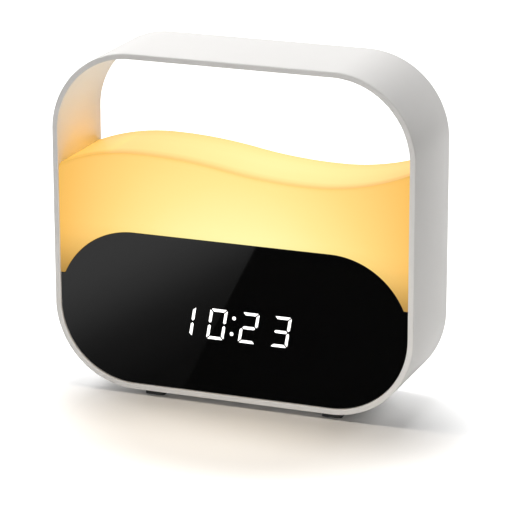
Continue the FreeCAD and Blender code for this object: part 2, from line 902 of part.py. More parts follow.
wall_end = chassis_front + S.chassis_wall
bosses("cover", cover_screws_at, S.boss_radius, S.pilot_radius, chassis_back - wall_end)
bosses("board", board_screws_at, S.small_boss_radius, S.small_screw_radius, board_front - wall_end)
display_boss = display_back - wall_end
display_outline = sketch_at(chassis, "display_bosses", S.chassis_wall)
for x, z in display_screws_at:
    draw_circle(display_outline, x, z, S.small_boss_radius)
pad(chassis, display_outline, display_boss)
display_pilots = sketch_at(chassis, "display_pilots", S.chassis_wall)
for x, z in display_screws_at:
    draw_circle(display_pilots, x, z, S.small_screw_radius)
pocket(chassis, display_pilots, display_boss + OVER)
place(chassis, ZERO, chassis_front, ZERO)

floor_screw_length = S.band_wall + S.fit_gap + S.chassis_inset + S.chassis_wall + S.floor_screw_bite
chassis_tub = fuse(
    "chassis_tub",
    chassis,
    *(
        upright(
            f"floor_boss_{end}_{hand}",
            foot_x,
            S.floor_screw_y * side_y,
            chassis_floor + S.chassis_wall / 2,
            S.boss_radius,
            S.floor_boss_height,
        )
        for hand, foot_x in feet_at
        for end, side_y in ends
    ),
)
lamp_lead_x = -S.lamp_lead_offset
lamp_screws_at = [S.lamp_screw_x * side for side in (-1, 1)]
chassis_done = cut(
    "chassis_finished",
    chassis_tub,
    *(
        upright(
            f"floor_pilot_{end}_{hand}",
            foot_x,
            S.floor_screw_y * side_y,
            chassis_floor - OVER,
            S.pilot_radius,
            S.floor_boss_height + S.chassis_wall / 2 + OVER * 2,
        )
        for hand, foot_x in feet_at
        for end, side_y in ends
    ),
    *(
        upright(
            f"roof_pilot_{n}",
            x,
            ZERO,
            roof - S.chassis_wall - OVER,
            S.small_screw_radius,
            S.chassis_wall + OVER * 2,
        )
        for n, x in enumerate(lamp_screws_at)
    ),
    block(
        "roof_slot",
        lamp_lead_x - S.loose_gap,
        S.lead_slot_y - S.loose_gap,
        roof - S.chassis_wall - OVER,
        S.lead_width + S.loose_gap * 2,
        S.lead_thick + S.loose_gap * 2,
        S.chassis_wall + OVER * 2,
    ),
)
chassis.Label = "chassis_tray"
chassis_done.Label = "chassis"

chassis_screws = group(
    "chassis_screws",
    [
        screw_at(
            f"floor_{end}_{hand}",
            foot_x,
            S.floor_screw_y * side_y,
            underside + S.fit_gap,
            S.screw_radius,
            floor_screw_length,
            S.screw_head_radius,
            S.screw_head_thick,
            FreeCAD.Rotation(),
        )
        for hand, foot_x in feet_at
        for end, side_y in ends
    ],
)

# The lamp: a white sheet bent over the chassis's roof, and on it a narrow metal-core board with a row
# of small light chips, held by two screws.
reflector = new_body("reflector_sheet")
sheet_outline = sketch_at(reflector, "sheet_outline")
sheet_low = underside + S.panel_top - S.panel_curve + S.panel_curve * S.sheet_climb


def draw_roof_band(sketch, inset, thick, low):
    """The flat top and the upper part of both arcs, as an even strip outside the given inset."""
    curve = S.panel_curve - inset
    outer = curve + thick
    centre_z = underside + S.panel_top - S.panel_curve
    x = S.panel_curve_x
    start_in = math.degrees(math.asin((low.value - centre_z.value) / curve.value))
    start_out = math.degrees(math.asin((low.value - centre_z.value) / outer.value))
    top_in = centre_z.value + curve.value
    top_out = centre_z.value + outer.value
    reach_in = x.value + curve.value * math.cos(math.radians(start_in))
    reach_out = x.value + outer.value * math.cos(math.radians(start_out))
    outer_right = arc(sketch, x.value, centre_z.value, outer.value, start_out, 90)
    outer_top = line(sketch, x.value, top_out, -x.value, top_out)
    outer_left = arc(sketch, -x.value, centre_z.value, outer.value, 90, 180 - start_out)
    left_end = line(sketch, -reach_out, low.value, -reach_in, low.value)
    inner_left = arc(sketch, -x.value, centre_z.value, curve.value, 90, 180 - start_in)
    inner_top = line(sketch, -x.value, top_in, x.value, top_in)
    inner_right = arc(sketch, x.value, centre_z.value, curve.value, start_in, 90)
    right_end = line(sketch, reach_in, low.value, reach_out, low.value)
    join(sketch, "Tangent", outer_right, 2, outer_top, 1)
    join(sketch, "Tangent", outer_top, 2, outer_left, 1)
    join(sketch, "Coincident", outer_left, 2, left_end, 1)
    join(sketch, "Coincident", left_end, 2, inner_left, 2)
    join(sketch, "Tangent", inner_left, 1, inner_top, 1)
    join(sketch, "Tangent", inner_top, 2, inner_right, 2)
    join(sketch, "Coincident", inner_right, 1, right_end, 1)
    join(sketch, "Coincident", right_end, 2, outer_right, 1)
    for edge in (outer_top, inner_top, left_end, right_end):
        sketch.addConstraint(Sketcher.Constraint("Horizontal", edge))
    arcs = ((outer_right, outer), (outer_left, outer), (inner_left, curve), (inner_right, curve))
    for edge, radius in arcs:
        hold(sketch, "Radius", (edge,), radius)
    for edge, side in ((outer_right, x), (inner_right, x), (outer_left, -x), (inner_left, -x)):
        hold_x(sketch, edge, 3, side)
    hold_z(sketch, outer_right, 3, centre_z)
    hold_z(sketch, inner_right, 3, centre_z)
    hold_z(sketch, left_end, 1, low)
    hold_z(sketch, right_end, 1, low)


draw_roof_band(sheet_outline, S.chassis_inset - S.fit_gap, S.sheet_thick, sheet_low)
pad(reflector, sheet_outline, (chassis_back - S.loose_gap) * 2, both_ways=True)
sheet_top = roof + S.fit_gap + S.sheet_thick
reflector_done = cut(
    "reflector_drilled",
    reflector,
    *(
        upright(
            f"sheet_hole_{n}",
            x,
            ZERO,
            roof - OVER,
            S.small_screw_radius + S.fit_gap,
            S.sheet_thick + OVER * 2,
        )
        for n, x in enumerate(lamp_screws_at)
    ),
    block(
        "sheet_slot",
        lamp_lead_x - S.loose_gap,
        S.lead_slot_y - S.loose_gap,
        roof - OVER,
        S.lead_width + S.loose_gap * 2,
        S.lead_thick + S.loose_gap * 2,
        S.sheet_thick + OVER * 2,
    ),
)
reflector.Label = "reflector_blank"
reflector_done.Label = "reflector_sheet"

lamp_board = cut(
    "lamp_board",
    block(
        "lamp_board_blank",
        -(S.lamp_board_length / 2),
        -(S.lamp_board_breadth / 2),
        sheet_top,
        S.lamp_board_length,
        S.lamp_board_breadth,
        S.board_thick,
    ),
    *(
        upright(
            f"lamp_hole_{n}",
            x,
            ZERO,
            sheet_top - OVER,
            S.small_screw_radius + S.fit_gap,
            S.board_thick + OVER * 2,
        )
        for n, x in enumerate(lamp_screws_at)
    ),
)
lamp_top = sheet_top + S.board_thick
led_count = int(S.led_count.value)
lamp_leds = group(
    "lamp_leds",
    [
        block(
            f"led_{n}",
            S.led_pitch * (n - (led_count - 1) / 2) - S.led_side / 2,
            -(S.led_side / 2),
            lamp_top,
            S.led_side,
            S.led_side,
            S.led_thick,
        )
        for n in range(led_count)
    ],
)
lamp_screws = group(
    "lamp_board_screws",
    [
        screw_at(
            f"lamp_{n}",
            x,
            ZERO,
            lamp_top + S.small_head_thick,
            S.small_screw_radius,
            S.small_screw_length,
            S.small_head_radius,
            S.small_head_thick,
            FreeCAD.Rotation(FreeCAD.Vector(1, 0, 0), 180),
        )
        for n, x in enumerate(lamp_screws_at)
    ],
)

# The main board faces the rear cover, so that its six switches sit under the keys and its power socket
# behind its mouth.
board_length = board_right - board_left
board_height = board_high - board_low
main_board = cut(
    "main_board",
    block("main_board_blank", board_left, board_front, board_low, board_length, S.board_thick, board_height),
    *(
        rod(
            f"main_board_hole_{n}",
            x,
            board_front - OVER,
            z,
            S.small_screw_radius + S.fit_gap,
            S.board_thick + OVER * 2,
        )
        for n, (x, z) in enumerate(board_screws_at)
    ),
)
main_board_screws = group(
    "main_board_screws",
    [
        screw_at(
            f"board_{n}",
            x,
            board_back + S.small_head_thick,
            z,
            S.small_screw_radius,
            S.small_screw_length,
            S.small_head_radius,
            S.small_head_thick,
        )
        for n, (x, z) in enumerate(board_screws_at)
    ],
)
sizes = vars(S)
board_chips = group(
    "board_chips",
    [
        centred_block(
            chip,
            sizes[f"{chip}_x"],
            board_back,
            underside + sizes[f"{chip}_height"],
            sizes[f"{chip}_side"],
            sizes[f"{chip}_thick"],
            sizes[f"{chip}_side"],
        )
        for chip in CHIPS
    ],
)
board_capacitors = group(
    "board_capacitors",
    [
        rod(
            can,
            sizes[f"{can}_x"],
            board_back,
            underside + sizes[f"{can}_height"],
            sizes[f"{can}_radius"],
            S.can_length,
        )
        for can in CANS
    ],
)

# Six round keys, each with a flange behind the cover that keeps it in, and a post on its switch's
# plunger. The plunger runs in the switch's bore with a small clearance.
key_z = underside + S.key_height
keys_at = [S.key_pitch * n - S.first_key_x for n in range(len(KEYS))]
switch_back = board_back + S.switch_thick
plunger_back = switch_back + S.plunger_proud
flange_back = cover_front - S.key_flange_gap
flange_front = flange_back - S.key_flange_thick
keys = []
plungers = []
switch_bodies = []
for key_name, key_x in zip(KEYS, keys_at):
    key = new_body(f"key_{key_name}")
    cap = sketch_at(key, f"{key.Name}_cap", flange_back)
    draw_circle(cap, key_x, key_z, S.key_radius)
    pad(key, cap, cover_back + S.key_proud - flange_back)
    back_y = cover_back.value + S.key_proud.value
    dress(key, "Fillet", lambda edge: lies_at_y(edge, back_y), S.key_round)
    flange = sketch_at(key, f"{key.Name}_flange", flange_front)
    draw_circle(flange, key_x, key_z, S.key_flange_radius)
    pad(key, flange, S.key_flange_thick)
    post = sketch_at(key, f"{key.Name}_post", plunger_back)
    draw_circle(post, key_x, key_z, S.key_post_radius)
    pad(key, post, flange_front - plunger_back)
    keys.append(key)
    plungers.append(
        rod(
            f"plunger_{key_name}",
            key_x,
            switch_back - S.plunger_buried,
            key_z,
            S.plunger_radius,
            S.plunger_buried + S.plunger_proud,
        )
    )
    bore_depth = S.plunger_buried + S.key_travel + S.loose_gap
    switch_bodies.append(
        cut(
            f"switch_{key_name}",
            centred_block(
                f"switch_{key_name}_blank",
                key_x,
                board_back,
                key_z,
                S.switch_side,
                S.switch_thick,
                S.switch_side,
            ),
            rod(
                f"switch_{key_name}_bore",
                key_x,
                switch_back - bore_depth,
                key_z,
                S.plunger_radius + S.plunger_gap,
                bore_depth + OVER,
            ),
        )
    )
key_switches = group("key_switches", switch_bodies)

# The power socket stands on the main board with its mouth just inside the rear cover.
socket_z = underside + S.socket_height


def socket_sleeve(name, body, y, spread):
    """A flat-sided tube blank with round ends about the socket's axis."""
    outline = sketch_at(body, name, y)
    half_width = S.socket_width / 2 + spread
    half_height = S.socket_thick / 2 + spread
    draw_rounded_box(
        outline,
        S.socket_x - half_width,
        S.socket_x + half_width,
        socket_z - half_height,
        socket_z + half_height,
        half_height - S.socket_side_flat,
    )
    return outline


usb_shell = new_body("usb_shell")
pad(usb_shell, socket_sleeve("socket_outside", usb_shell, board_back, ZERO), S.socket_depth)
pocket(
    usb_shell,
    socket_sleeve("socket_inside", usb_shell, board_back + S.socket_floor, -S.socket_wall),
    S.socket_depth,
)
usb_tongue = centred_block(
    "usb_tongue",
    S.socket_x,
    board_back + S.socket_floor,
    socket_z,
    S.tongue_width,
    S.socket_depth - S.socket_floor - S.tongue_setback,
    S.tongue_thick,
)

# The speaker: a steel basket with a paper cone, a ring magnet behind it, and a foam gasket that seals
# it to the rear cover, inside a moulded ring.
speaker_x = -S.speaker_x
speaker_z = underside + S.speaker_height
flange_y = cover_front - S.gasket_thick - S.speaker_flange


def bell(name, y, low_radius, high_radius, length):
    """A round tapered blank from y backwards."""
    thing = doc.addObject("Part::Cone", name)
    bind(thing, "Radius1", low_radius)
    bind(thing, "Radius2", high_radius)
    bind(thing, "Height", length)
    return place(thing, speaker_x, y, speaker_z, BEHIND)


cup_y = flange_y - S.speaker_cup_depth
speaker_basket = cut(
    "speaker_basket",
    fuse(
        "basket_blank",
        rod("basket_flange", speaker_x, flange_y, speaker_z, S.speaker_radius, S.speaker_flange),
        bell("basket_cup", cup_y, S.speaker_magnet_radius, S.speaker_cup_radius, S.speaker_cup_depth),
    ),
    bell(
        "basket_hollow",
        cup_y + S.speaker_shell,
        S.speaker_magnet_radius - S.speaker_shell,
        S.speaker_cup_radius - S.speaker_shell,
        S.speaker_cup_depth,
    ),
    rod(
        "basket_mouth",
        speaker_x,
        flange_y - OVER,
        speaker_z,
        S.speaker_cup_radius - S.speaker_shell,
        S.speaker_flange + OVER * 2,
    ),
)
speaker_magnet = rod(
    "speaker_magnet",
    speaker_x,
    cup_y - S.speaker_magnet_thick,
    speaker_z,
    S.speaker_magnet_radius,
    S.speaker_magnet_thick,
)
cone_depth = S.speaker_cup_depth - S.speaker_shell
cone_rim = S.speaker_cup_radius - S.speaker_shell - S.fit_gap
speaker_cone = cut(
    "speaker_cone",
    bell("cone_outside", cup_y + S.speaker_shell, S.voice_radius, cone_rim, cone_depth),
    bell(
        "cone_inside",
        cup_y + S.speaker_shell + S.cone_thick,
        S.voice_radius - S.cone_wall,
        cone_rim - S.cone_wall,
        cone_depth,
    ),
)
speaker_gasket = cut(
    "speaker_gasket",
    rod("gasket_blank", speaker_x, cover_front - S.gasket_thick, speaker_z, S.speaker_radius, S.gasket_thick),
    rod(
        "gasket_hole",
        speaker_x,
        cover_front - S.gasket_thick - OVER,
        speaker_z,
        S.speaker_radius - S.gasket_width,
        S.gasket_thick + OVER * 2,
    ),
)

# The rear cover repeats the lens's outline. A ring for the speaker and a cup for the backup battery
# stand on its inside.
cell_z = underside + S.cell_height
cell_back = cover_back - S.door_thick - S.fit_gap
cell_front = cell_back - S.cell_thick
cup_front = cell_front - S.contact_thick - S.cup_floor
door_screw_z = cell_z + S.door_radius + S.door_tab / 2
cover = new_body("rear_cover")
cover_outline = sketch_at(cover, "cover_outline", cover_front)
draw_lens_outline(cover_outline, 0)
pad(cover, cover_outline, S.cover_thick)
speaker_ring = sketch_at(cover, "speaker_ring", cover_front - S.speaker_ring_depth)
ring_inside = S.speaker_radius + S.fit_gap
draw_circle(speaker_ring, speaker_x, speaker_z, ring_inside)
draw_circle(speaker_ring, speaker_x, speaker_z, ring_inside + S.speaker_ring_wall)
pad(cover, speaker_ring, S.speaker_ring_depth)
cup = sketch_at(cover, "battery_cup", cup_front)
cup_inside = S.cell_radius + S.fit_gap
draw_circle(cup, S.cell_x, cell_z, cup_inside + S.cup_wall)
pad(cover, cup, cover_front - cup_front)
tab_boss = sketch_at(cover, "door_boss", cup_front)
draw_circle(tab_boss, S.cell_x, door_screw_z, S.small_boss_radius)
pad(cover, tab_boss, cover_front - cup_front)
cell_hole = sketch_at(cover, "battery_hole", cup_front + S.cup_floor)
draw_circle(cell_hole, S.cell_x, cell_z, cup_inside)
pocket(cover, cell_hole, EVERYTHING)
door_seat = sketch_at(cover, "door_seat", cover_back - S.door_thick - S.fit_gap)
draw_circle(door_seat, S.cell_x, cell_z, S.door_radius + S.fit_gap)
pocket(cover, door_seat, EVERYTHING)
tab_seat = sketch_at(cover, "door_tab_seat", cover_back - S.door_thick - S.fit_gap)
draw_rounded_box(
    tab_seat,
    S.cell_x - S.door_tab / 2 - S.fit_gap,
    S.cell_x + S.door_tab / 2 + S.fit_gap,
    cell_z + S.door_radius / 2,
    cell_z + S.door_radius + S.door_tab + S.fit_gap,
    S.door_tab_round + S.fit_gap,
)
pocket(cover, tab_seat, EVERYTHING)
door_pilot = sketch_at(cover, "door_pilot", cup_front + S.cup_floor - S.fit_gap)
draw_circle(door_pilot, S.cell_x, door_screw_z, S.small_screw_radius + S.fit_gap)
pocket(cover, door_pilot, EVERYTHING)
through = sketch_at(cover, "cover_holes", cover_front - OVER)
for key_x in keys_at:
    draw_circle(through, key_x, key_z, S.key_radius + S.fit_gap)
for x, z in cover_screws_at:
    draw_circle(through, x, z, S.screw_hole_radius)
draw_rounded_box(
    through,
    S.socket_x - S.socket_width / 2 - S.loose_gap,
    S.socket_x + S.socket_width / 2 + S.loose_gap,
    socket_z - S.socket_thick / 2 - S.loose_gap,
    socket_z + S.socket_thick / 2 + S.loose_gap,
    S.socket_thick / 2,
)
pocket(cover, through, EVERYTHING)
sinks = sketch_at(cover, "cover_sinks", cover_back - S.screw_head_thick)
for x, z in cover_screws_at:
    draw_circle(sinks, x, z, S.screw_head_radius + S.fit_gap)
pocket(cover, sinks, EVERYTHING)
grille = sketch_at(cover, "speaker_grille", cover_front - OVER)
for ring_number in range(int(S.grille_rings.value)):
    count = max(6 * ring_number, 1)
    for spot in range(count):
        angle = 2 * math.pi * spot / count
        out = S.grille_pitch * ring_number
        draw_circle(
            grille,
            speaker_x + out * round(math.cos(angle), 6),
            speaker_z + out * round(math.sin(angle), 6),
            S.grille_hole_radius,
        )
pocket(cover, grille, EVERYTHING)

cover_screws = group(
    "rear_cover_screws",
    [
        screw_at(
            f"cover_{n}",
            x,
            cover_back,
            z,
            S.screw_radius,
            S.screw_length,
            S.screw_head_radius,
            S.screw_head_thick,
        )
        for n, (x, z) in enumerate(cover_screws_at)
    ],
)

# The backup battery lies in the cup on a contact strip, under a round door with a tab and one screw.
coin_cell = rod("coin_cell", S.cell_x, cell_front, cell_z, S.cell_radius, S.cell_thick)
battery_contacts = group(
    "battery_contacts",
    [
        centred_block(
            f"contact_{hand}",
            S.cell_x + S.contact_spread * side,
            cell_front - S.contact_thick,
            cell_z,
            S.contact_width,
            S.contact_thick,
            S.contact_length,
        )
        for hand, side in (("plus", 1), ("minus", -1))
    ],
)
door = new_body("battery_door")
door_front = cover_back - S.door_thick
disc = sketch_at(door, "door_disc", door_front)
draw_circle(disc, S.cell_x, cell_z, S.door_radius)
pad(door, disc, S.door_thick)
tab = sketch_at(door, "door_tab", door_front)
draw_rounded_box(
    tab,
    S.cell_x - S.door_tab / 2,
    S.cell_x + S.door_tab / 2,
    cell_z + S.door_radius / 2 + S.fit_gap,
    cell_z + S.door_radius + S.door_tab,
    S.door_tab_round,
)
pad(door, tab, S.door_thick)
door_hole = sketch_at(door, "door_hole", door_front - OVER)
draw_circle(door_hole, S.cell_x, door_screw_z, S.small_screw_radius)
pocket(door, door_hole, EVERYTHING)
door_sink = sketch_at(door, "door_sink", cover_back - S.small_head_thick)
draw_circle(door_sink, S.cell_x, door_screw_z, S.small_head_radius)
pocket(door, door_sink, EVERYTHING)
door_screw = screw_at(
    "door",
    S.cell_x,
    cover_back,
    door_screw_z,
    S.small_screw_radius,
    S.door_screw_length,
    S.small_head_radius,
    S.small_head_thick,
)
door_screw.Label = "battery_door_screw"


# Flat leads: strips of even thickness along a path of straight runs and quarter turns.
def strip(name, points, bend, thick, width, to_place):
    """A strip along straight runs through the points of a plane, with a round bend at each inner point,
    given its width square to that plane. to_place puts it in the clock."""
    runs = [
        (FreeCAD.Vector(*end) - FreeCAD.Vector(*start)).normalize() for start, end in zip(points, points[1:])
    ]
    sides = [FreeCAD.Vector(-run.y, run.x) for run in runs]
    edges = []
    ends = []
    for offset in (thick / 2, -thick / 2):
        here = FreeCAD.Vector(*points[0]) + sides[0] * offset
        ends.append(here)
        for number, corner in enumerate(points[1:-1]):
            there = FreeCAD.Vector(*corner)
            half_turn = runs[number].getAngle(runs[number + 1]) / 2
            back = bend * math.tan(half_turn)
            inward = (runs[number + 1] - runs[number]).normalize()
            apex = there + inward * (bend / math.cos(half_turn) - bend)
            middle = (sides[number] + sides[number + 1]).normalize()
            first = there - runs[number] * back + sides[number] * offset
            last = there + runs[number + 1] * back + sides[number + 1] * offset
            edges.append(Part.LineSegment(here, first).toShape())
            edges.append(Part.Arc(first, apex + middle * offset, last).toShape())
            here = last
        end = FreeCAD.Vector(*points[-1]) + sides[-1] * offset
        edges.append(Part.LineSegment(here, end).toShape())
        ends.append(end)
    edges.append(Part.LineSegment(ends[0], ends[2]).toShape())
    edges.append(Part.LineSegment(ends[1], ends[3]).toShape())
    outline = Part.Wire(Part.__sortEdges__(edges))
    lead = doc.addObject("Part::Feature", name)
    lead.Shape = Part.Face(outline).extrude(FreeCAD.Vector(0, 0, width))
    lead.Placement = to_place
    return lead


# A strip drawn in (y, z) and given its width along +X
def across_x(x):
    turn = FreeCAD.Rotation(FreeCAD.Vector(0, 1, 0), FreeCAD.Vector(0, 0, 1), FreeCAD.Vector(1, 0, 0), "ZXY")
    return FreeCAD.Placement(FreeCAD.Vector(x, 0, 0), turn)


ribbon_y = display_back.value + S.board_thick.value
ribbon_low = time_z.value - S.ribbon_drop.value
ribbon_high = time_z.value + S.ribbon_climb.value
ribbon_middle = (ribbon_y + board_front.value) / 2
display_ribbon = strip(
    "display_ribbon",
    [
        (ribbon_y, ribbon_low),
        (ribbon_middle, ribbon_low),
        (ribbon_middle, ribbon_high),
        (board_front.value, ribbon_high),
    ],
    S.ribbon_bend.value,
    S.ribbon_thick.value,
    S.ribbon_width.value,
    across_x(time_x.value - S.ribbon_width.value / 2),
)
lead_y = S.lead_slot_y.value + S.lead_thick.value / 2
lead_low = board_high.value - S.lead_drop.value
lamp_lead = strip(
    "lamp_lead",
    [
        (lead_y, sheet_top.value),
        (lead_y, lead_low),
        (board_front.value, lead_low),
    ],
    S.lead_bend.value,
    S.lead_thick.value,
    S.lead_width.value,
    across_x(lamp_lead_x.value),
)
magnet_side = speaker_x.value + S.speaker_magnet_radius.value
speaker_lead_corner = magnet_side + S.speaker_lead_reach.value
speaker_lead_low = cup_y.value - S.speaker_lead_start.value
speaker_lead_bow = board_front.value - S.speaker_lead_bow.value
speaker_lead_end = board_left.value + S.speaker_lead_inset.value
speaker_lead = strip(
    "speaker_lead",
    [
        (magnet_side, speaker_lead_low),
        (speaker_lead_corner, speaker_lead_low),
        (speaker_lead_corner, speaker_lead_bow),
        (speaker_lead_end, speaker_lead_bow),
        (speaker_lead_end, board_front.value),
    ],
    S.speaker_lead_bend.value,
    S.lead_thick.value,
    S.lead_width.value,
    FreeCAD.Placement(FreeCAD.Vector(0, 0, speaker_z.value - S.lead_width.value / 2), FreeCAD.Rotation()),
)

pieces = [
    band_block,
    *feet.values(),
    shade,
    lens,
    tape,
    segments,
    display_block,
    display_board,
    display_screws,
    chassis_done,
    chassis_screws,
    reflector_done,
    lamp_board,
    lamp_leds,
    lamp_screws,
    main_board,
    main_board_screws,
    board_chips,
    board_capacitors,
    *keys,
    *plungers,
    key_switches,
    usb_shell,
    usb_tongue,
    speaker_basket,
    speaker_magnet,
    speaker_cone,
    speaker_gasket,
    cover,
    cover_screws,
    coin_cell,
    battery_contacts,
    door,
    door_screw,
    display_ribbon,
    lamp_lead,
    speaker_lead,
]

doc.recompute()
for thing in doc.Objects:
    if "Invalid" in thing.State or "Error" in thing.State:
        raise SystemExit(f"{thing.Name} could not be computed: {thing.State}")
for piece in pieces:
    if piece.Shape.isNull() or not piece.Shape.isValid() or not piece.Shape.Solids:
        raise SystemExit(f"{piece.Label} has no valid solid")

os.makedirs("parts", exist_ok=True)
for piece in pieces:
    piece.Shape.exportStep(os.path.join("parts", f"{piece.Label}.step"))
    print(piece.Label, len(piece.Shape.Solids), round(piece.Shape.Volume, 1))
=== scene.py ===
import math
import bmesh
import bpy
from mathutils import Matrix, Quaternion, Vector


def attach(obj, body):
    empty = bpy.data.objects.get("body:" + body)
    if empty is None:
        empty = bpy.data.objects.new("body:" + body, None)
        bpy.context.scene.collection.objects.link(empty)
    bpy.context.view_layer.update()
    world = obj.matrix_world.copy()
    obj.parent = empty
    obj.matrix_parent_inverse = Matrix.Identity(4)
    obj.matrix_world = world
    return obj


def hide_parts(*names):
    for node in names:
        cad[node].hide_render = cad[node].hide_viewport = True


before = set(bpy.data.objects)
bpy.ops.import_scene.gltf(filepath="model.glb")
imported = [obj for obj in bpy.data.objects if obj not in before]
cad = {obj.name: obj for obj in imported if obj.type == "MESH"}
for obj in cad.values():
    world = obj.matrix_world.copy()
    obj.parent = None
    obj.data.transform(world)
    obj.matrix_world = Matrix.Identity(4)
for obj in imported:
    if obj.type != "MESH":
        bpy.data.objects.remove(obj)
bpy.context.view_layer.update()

# Loop moulding: the frame and carrying handle in one piece of satin off-white plastic. The same flat
# section runs round a rounded square, with a soft outer edge and a fine bevel inside, as the tool leaves it.
loop_rise = 0.0022
loop_height = 0.155
loop_sizes = {
    "Width": 0.170,
    "Height": loop_height,
    "Depth": 0.0475,
    "Wall": 0.0027,
    "Corner": 0.038,
    "Outer edge": 0.0007,
    "Bevel": 0.0003,
    "Middle": loop_rise + loop_height / 2,
}
loop_corner_points = 47
loop_edge_points = 11


def add(tree, kind, wires=None, **settings):
    """A node with its settings. wires gives each input, by name or number, a socket or a plain value."""
    node = tree.nodes.new(kind)
    for name, value in settings.items():
        setattr(node, name, value)
    for socket, value in (wires or {}).items():
        if isinstance(value, bpy.types.NodeSocket):
            tree.links.new(value, node.inputs[socket])
        else:
            node.inputs[socket].default_value = value
    return node


def reckon(tree, operation, first, second=0.0, third=0.0):
    """One step of arithmetic in a node tree."""
    return add(tree, "ShaderNodeMath", {0: first, 1: second, 2: third}, operation=operation).outputs[0]


def new_plan(name, sizes):
    """An empty geometry tree with a named input for each size and for the finish, and its sockets."""
    tree = bpy.data.node_groups.new(name, "GeometryNodeTree")
    for label in sizes:
        tree.interface.new_socket(label, in_out="INPUT", socket_type="NodeSocketFloat")
    tree.interface.new_socket("Finish", in_out="INPUT", socket_type="NodeSocketMaterial")
    tree.interface.new_socket("Mesh", in_out="OUTPUT", socket_type="NodeSocketGeometry")
    return tree, tree.nodes.new("NodeGroupInput").outputs


def close_plan(tree, shape, given, crisp):
    """Smooths all but the edges sharper than crisp degrees, and ends the tree with finished geometry."""
    real = add(tree, "GeometryNodeRealizeInstances", {"Geometry": shape})
    soft = add(tree, "GeometryNodeSetShadeSmooth", {"Geometry": real.outputs[0], "Shade Smooth": True})
    angle = add(tree, "GeometryNodeInputMeshEdgeAngle").outputs["Unsigned Angle"]
    sharp = reckon(tree, "GREATER_THAN", angle, math.radians(crisp))
    edged = add(
        tree,
        "GeometryNodeSetShadeSmooth",
        {"Geometry": soft.outputs[0], "Selection": sharp, "Shade Smooth": False},
        domain="EDGE",
    )
    done = add(tree, "GeometryNodeSetMaterial", {"Geometry": edged.outputs[0], "Material": given["Finish"]})
    add(tree, "NodeGroupOutput", {"Mesh": done.outputs[0]})


def keep(name, mesh, finish=None):
    """A new object at the origin for a finished mesh."""
    piece = bpy.data.objects.new(name, mesh)
    bpy.context.scene.collection.objects.link(piece)
    if finish:
        mesh.materials.append(finish)
    return piece


def grow(name, tree, sizes, finish):
    """Runs a tree with these sizes and keeps what it makes as a plain mesh."""
    seed = keep(name + "_seed", bpy.data.meshes.new(name + "_seed"))
    steps = seed.modifiers.new("grow", "NODES")
    steps.node_group = tree
    for item in tree.interface.items_tree:
        if item.in_out == "INPUT":
            steps[item.identifier] = finish if item.name == "Finish" else sizes[item.name]
    grown = bpy.data.meshes.new_from_object(seed.evaluated_get(bpy.context.evaluated_depsgraph_get()))
    bpy.data.objects.remove(seed)
    return keep(name, grown)


def new_finish(name, **sockets):
    """A material, its tree and its shader, with the plain numbers set on the shader's own sockets."""
    material = bpy.data.materials.new(name)
    material.use_nodes = True
    tree = material.node_tree
    shader = tree.nodes["Principled BSDF"]
    for socket, value in sockets.items():
        shader.inputs[socket.replace("_", " ")].default_value = value
    return material, tree, shader


def clouds(tree, size, place=None, detail=3.0, rough=0.5):
    """Soft random patches of about this size, in metres, fixed to the piece."""
    place = place or add(tree, "ShaderNodeTexCoord").outputs["Object"]
    wires = {"Vector": place, "Scale": 1 / size, "Detail": detail, "Roughness": rough}
    return add(tree, "ShaderNodeTexNoise", wires).outputs["Fac"]


def blend_colours(tree, amount, first, second):
    """One colour turning into another."""
    mix = tree.nodes.new("ShaderNodeMix")
    mix.data_type = "RGBA"
    tree.links.new(amount, mix.inputs["Factor"])
    for side, value in (("A", first), ("B", second)):
        socket = next(s for s in mix.inputs if s.name == side and s.type == "RGBA")
        socket.default_value = (*value, 1)
    return next(s for s in mix.outputs if s.type == "RGBA")


def spread(tree, amount, low, high):
    """A number moved from 0..1 into low..high."""
    return add(tree, "ShaderNodeMapRange", {"Value": amount, "To Min": low, "To Max": high}).outputs[0]


def relief(tree, shader, height, depth, distance=0.0001):
    """Raises the surface by a pattern."""
    bump = add(tree, "ShaderNodeBump", {"Strength": depth, "Distance": distance, "Height": height})
    tree.links.new(bump.outputs["Normal"], shader.inputs["Normal"])


def moulded(name, colour, rough, texture=0.0003, depth=0.25, drift=0.04, **sockets):
    """Moulded plastic or rubber: a faint drift in colour, uneven gloss and a fine etched texture."""
    material, tree, shader = new_finish(name, **sockets)
    patches = clouds(tree, 0.02)
    dull = tuple(c * (1 - drift) for c in colour)
    bright = tuple(min(c * (1 + drift), 1.0) for c in colour)
    tree.links.new(blend_colours(tree, patches, dull, bright), shader.inputs["Base Color"])
    gloss = clouds(tree, texture * 6)
    tree.links.new(spread(tree, gloss, rough - 0.05, rough + 0.05), shader.inputs["Roughness"])
    relief(tree, shader, clouds(tree, texture, detail=2.0), depth)
    return material


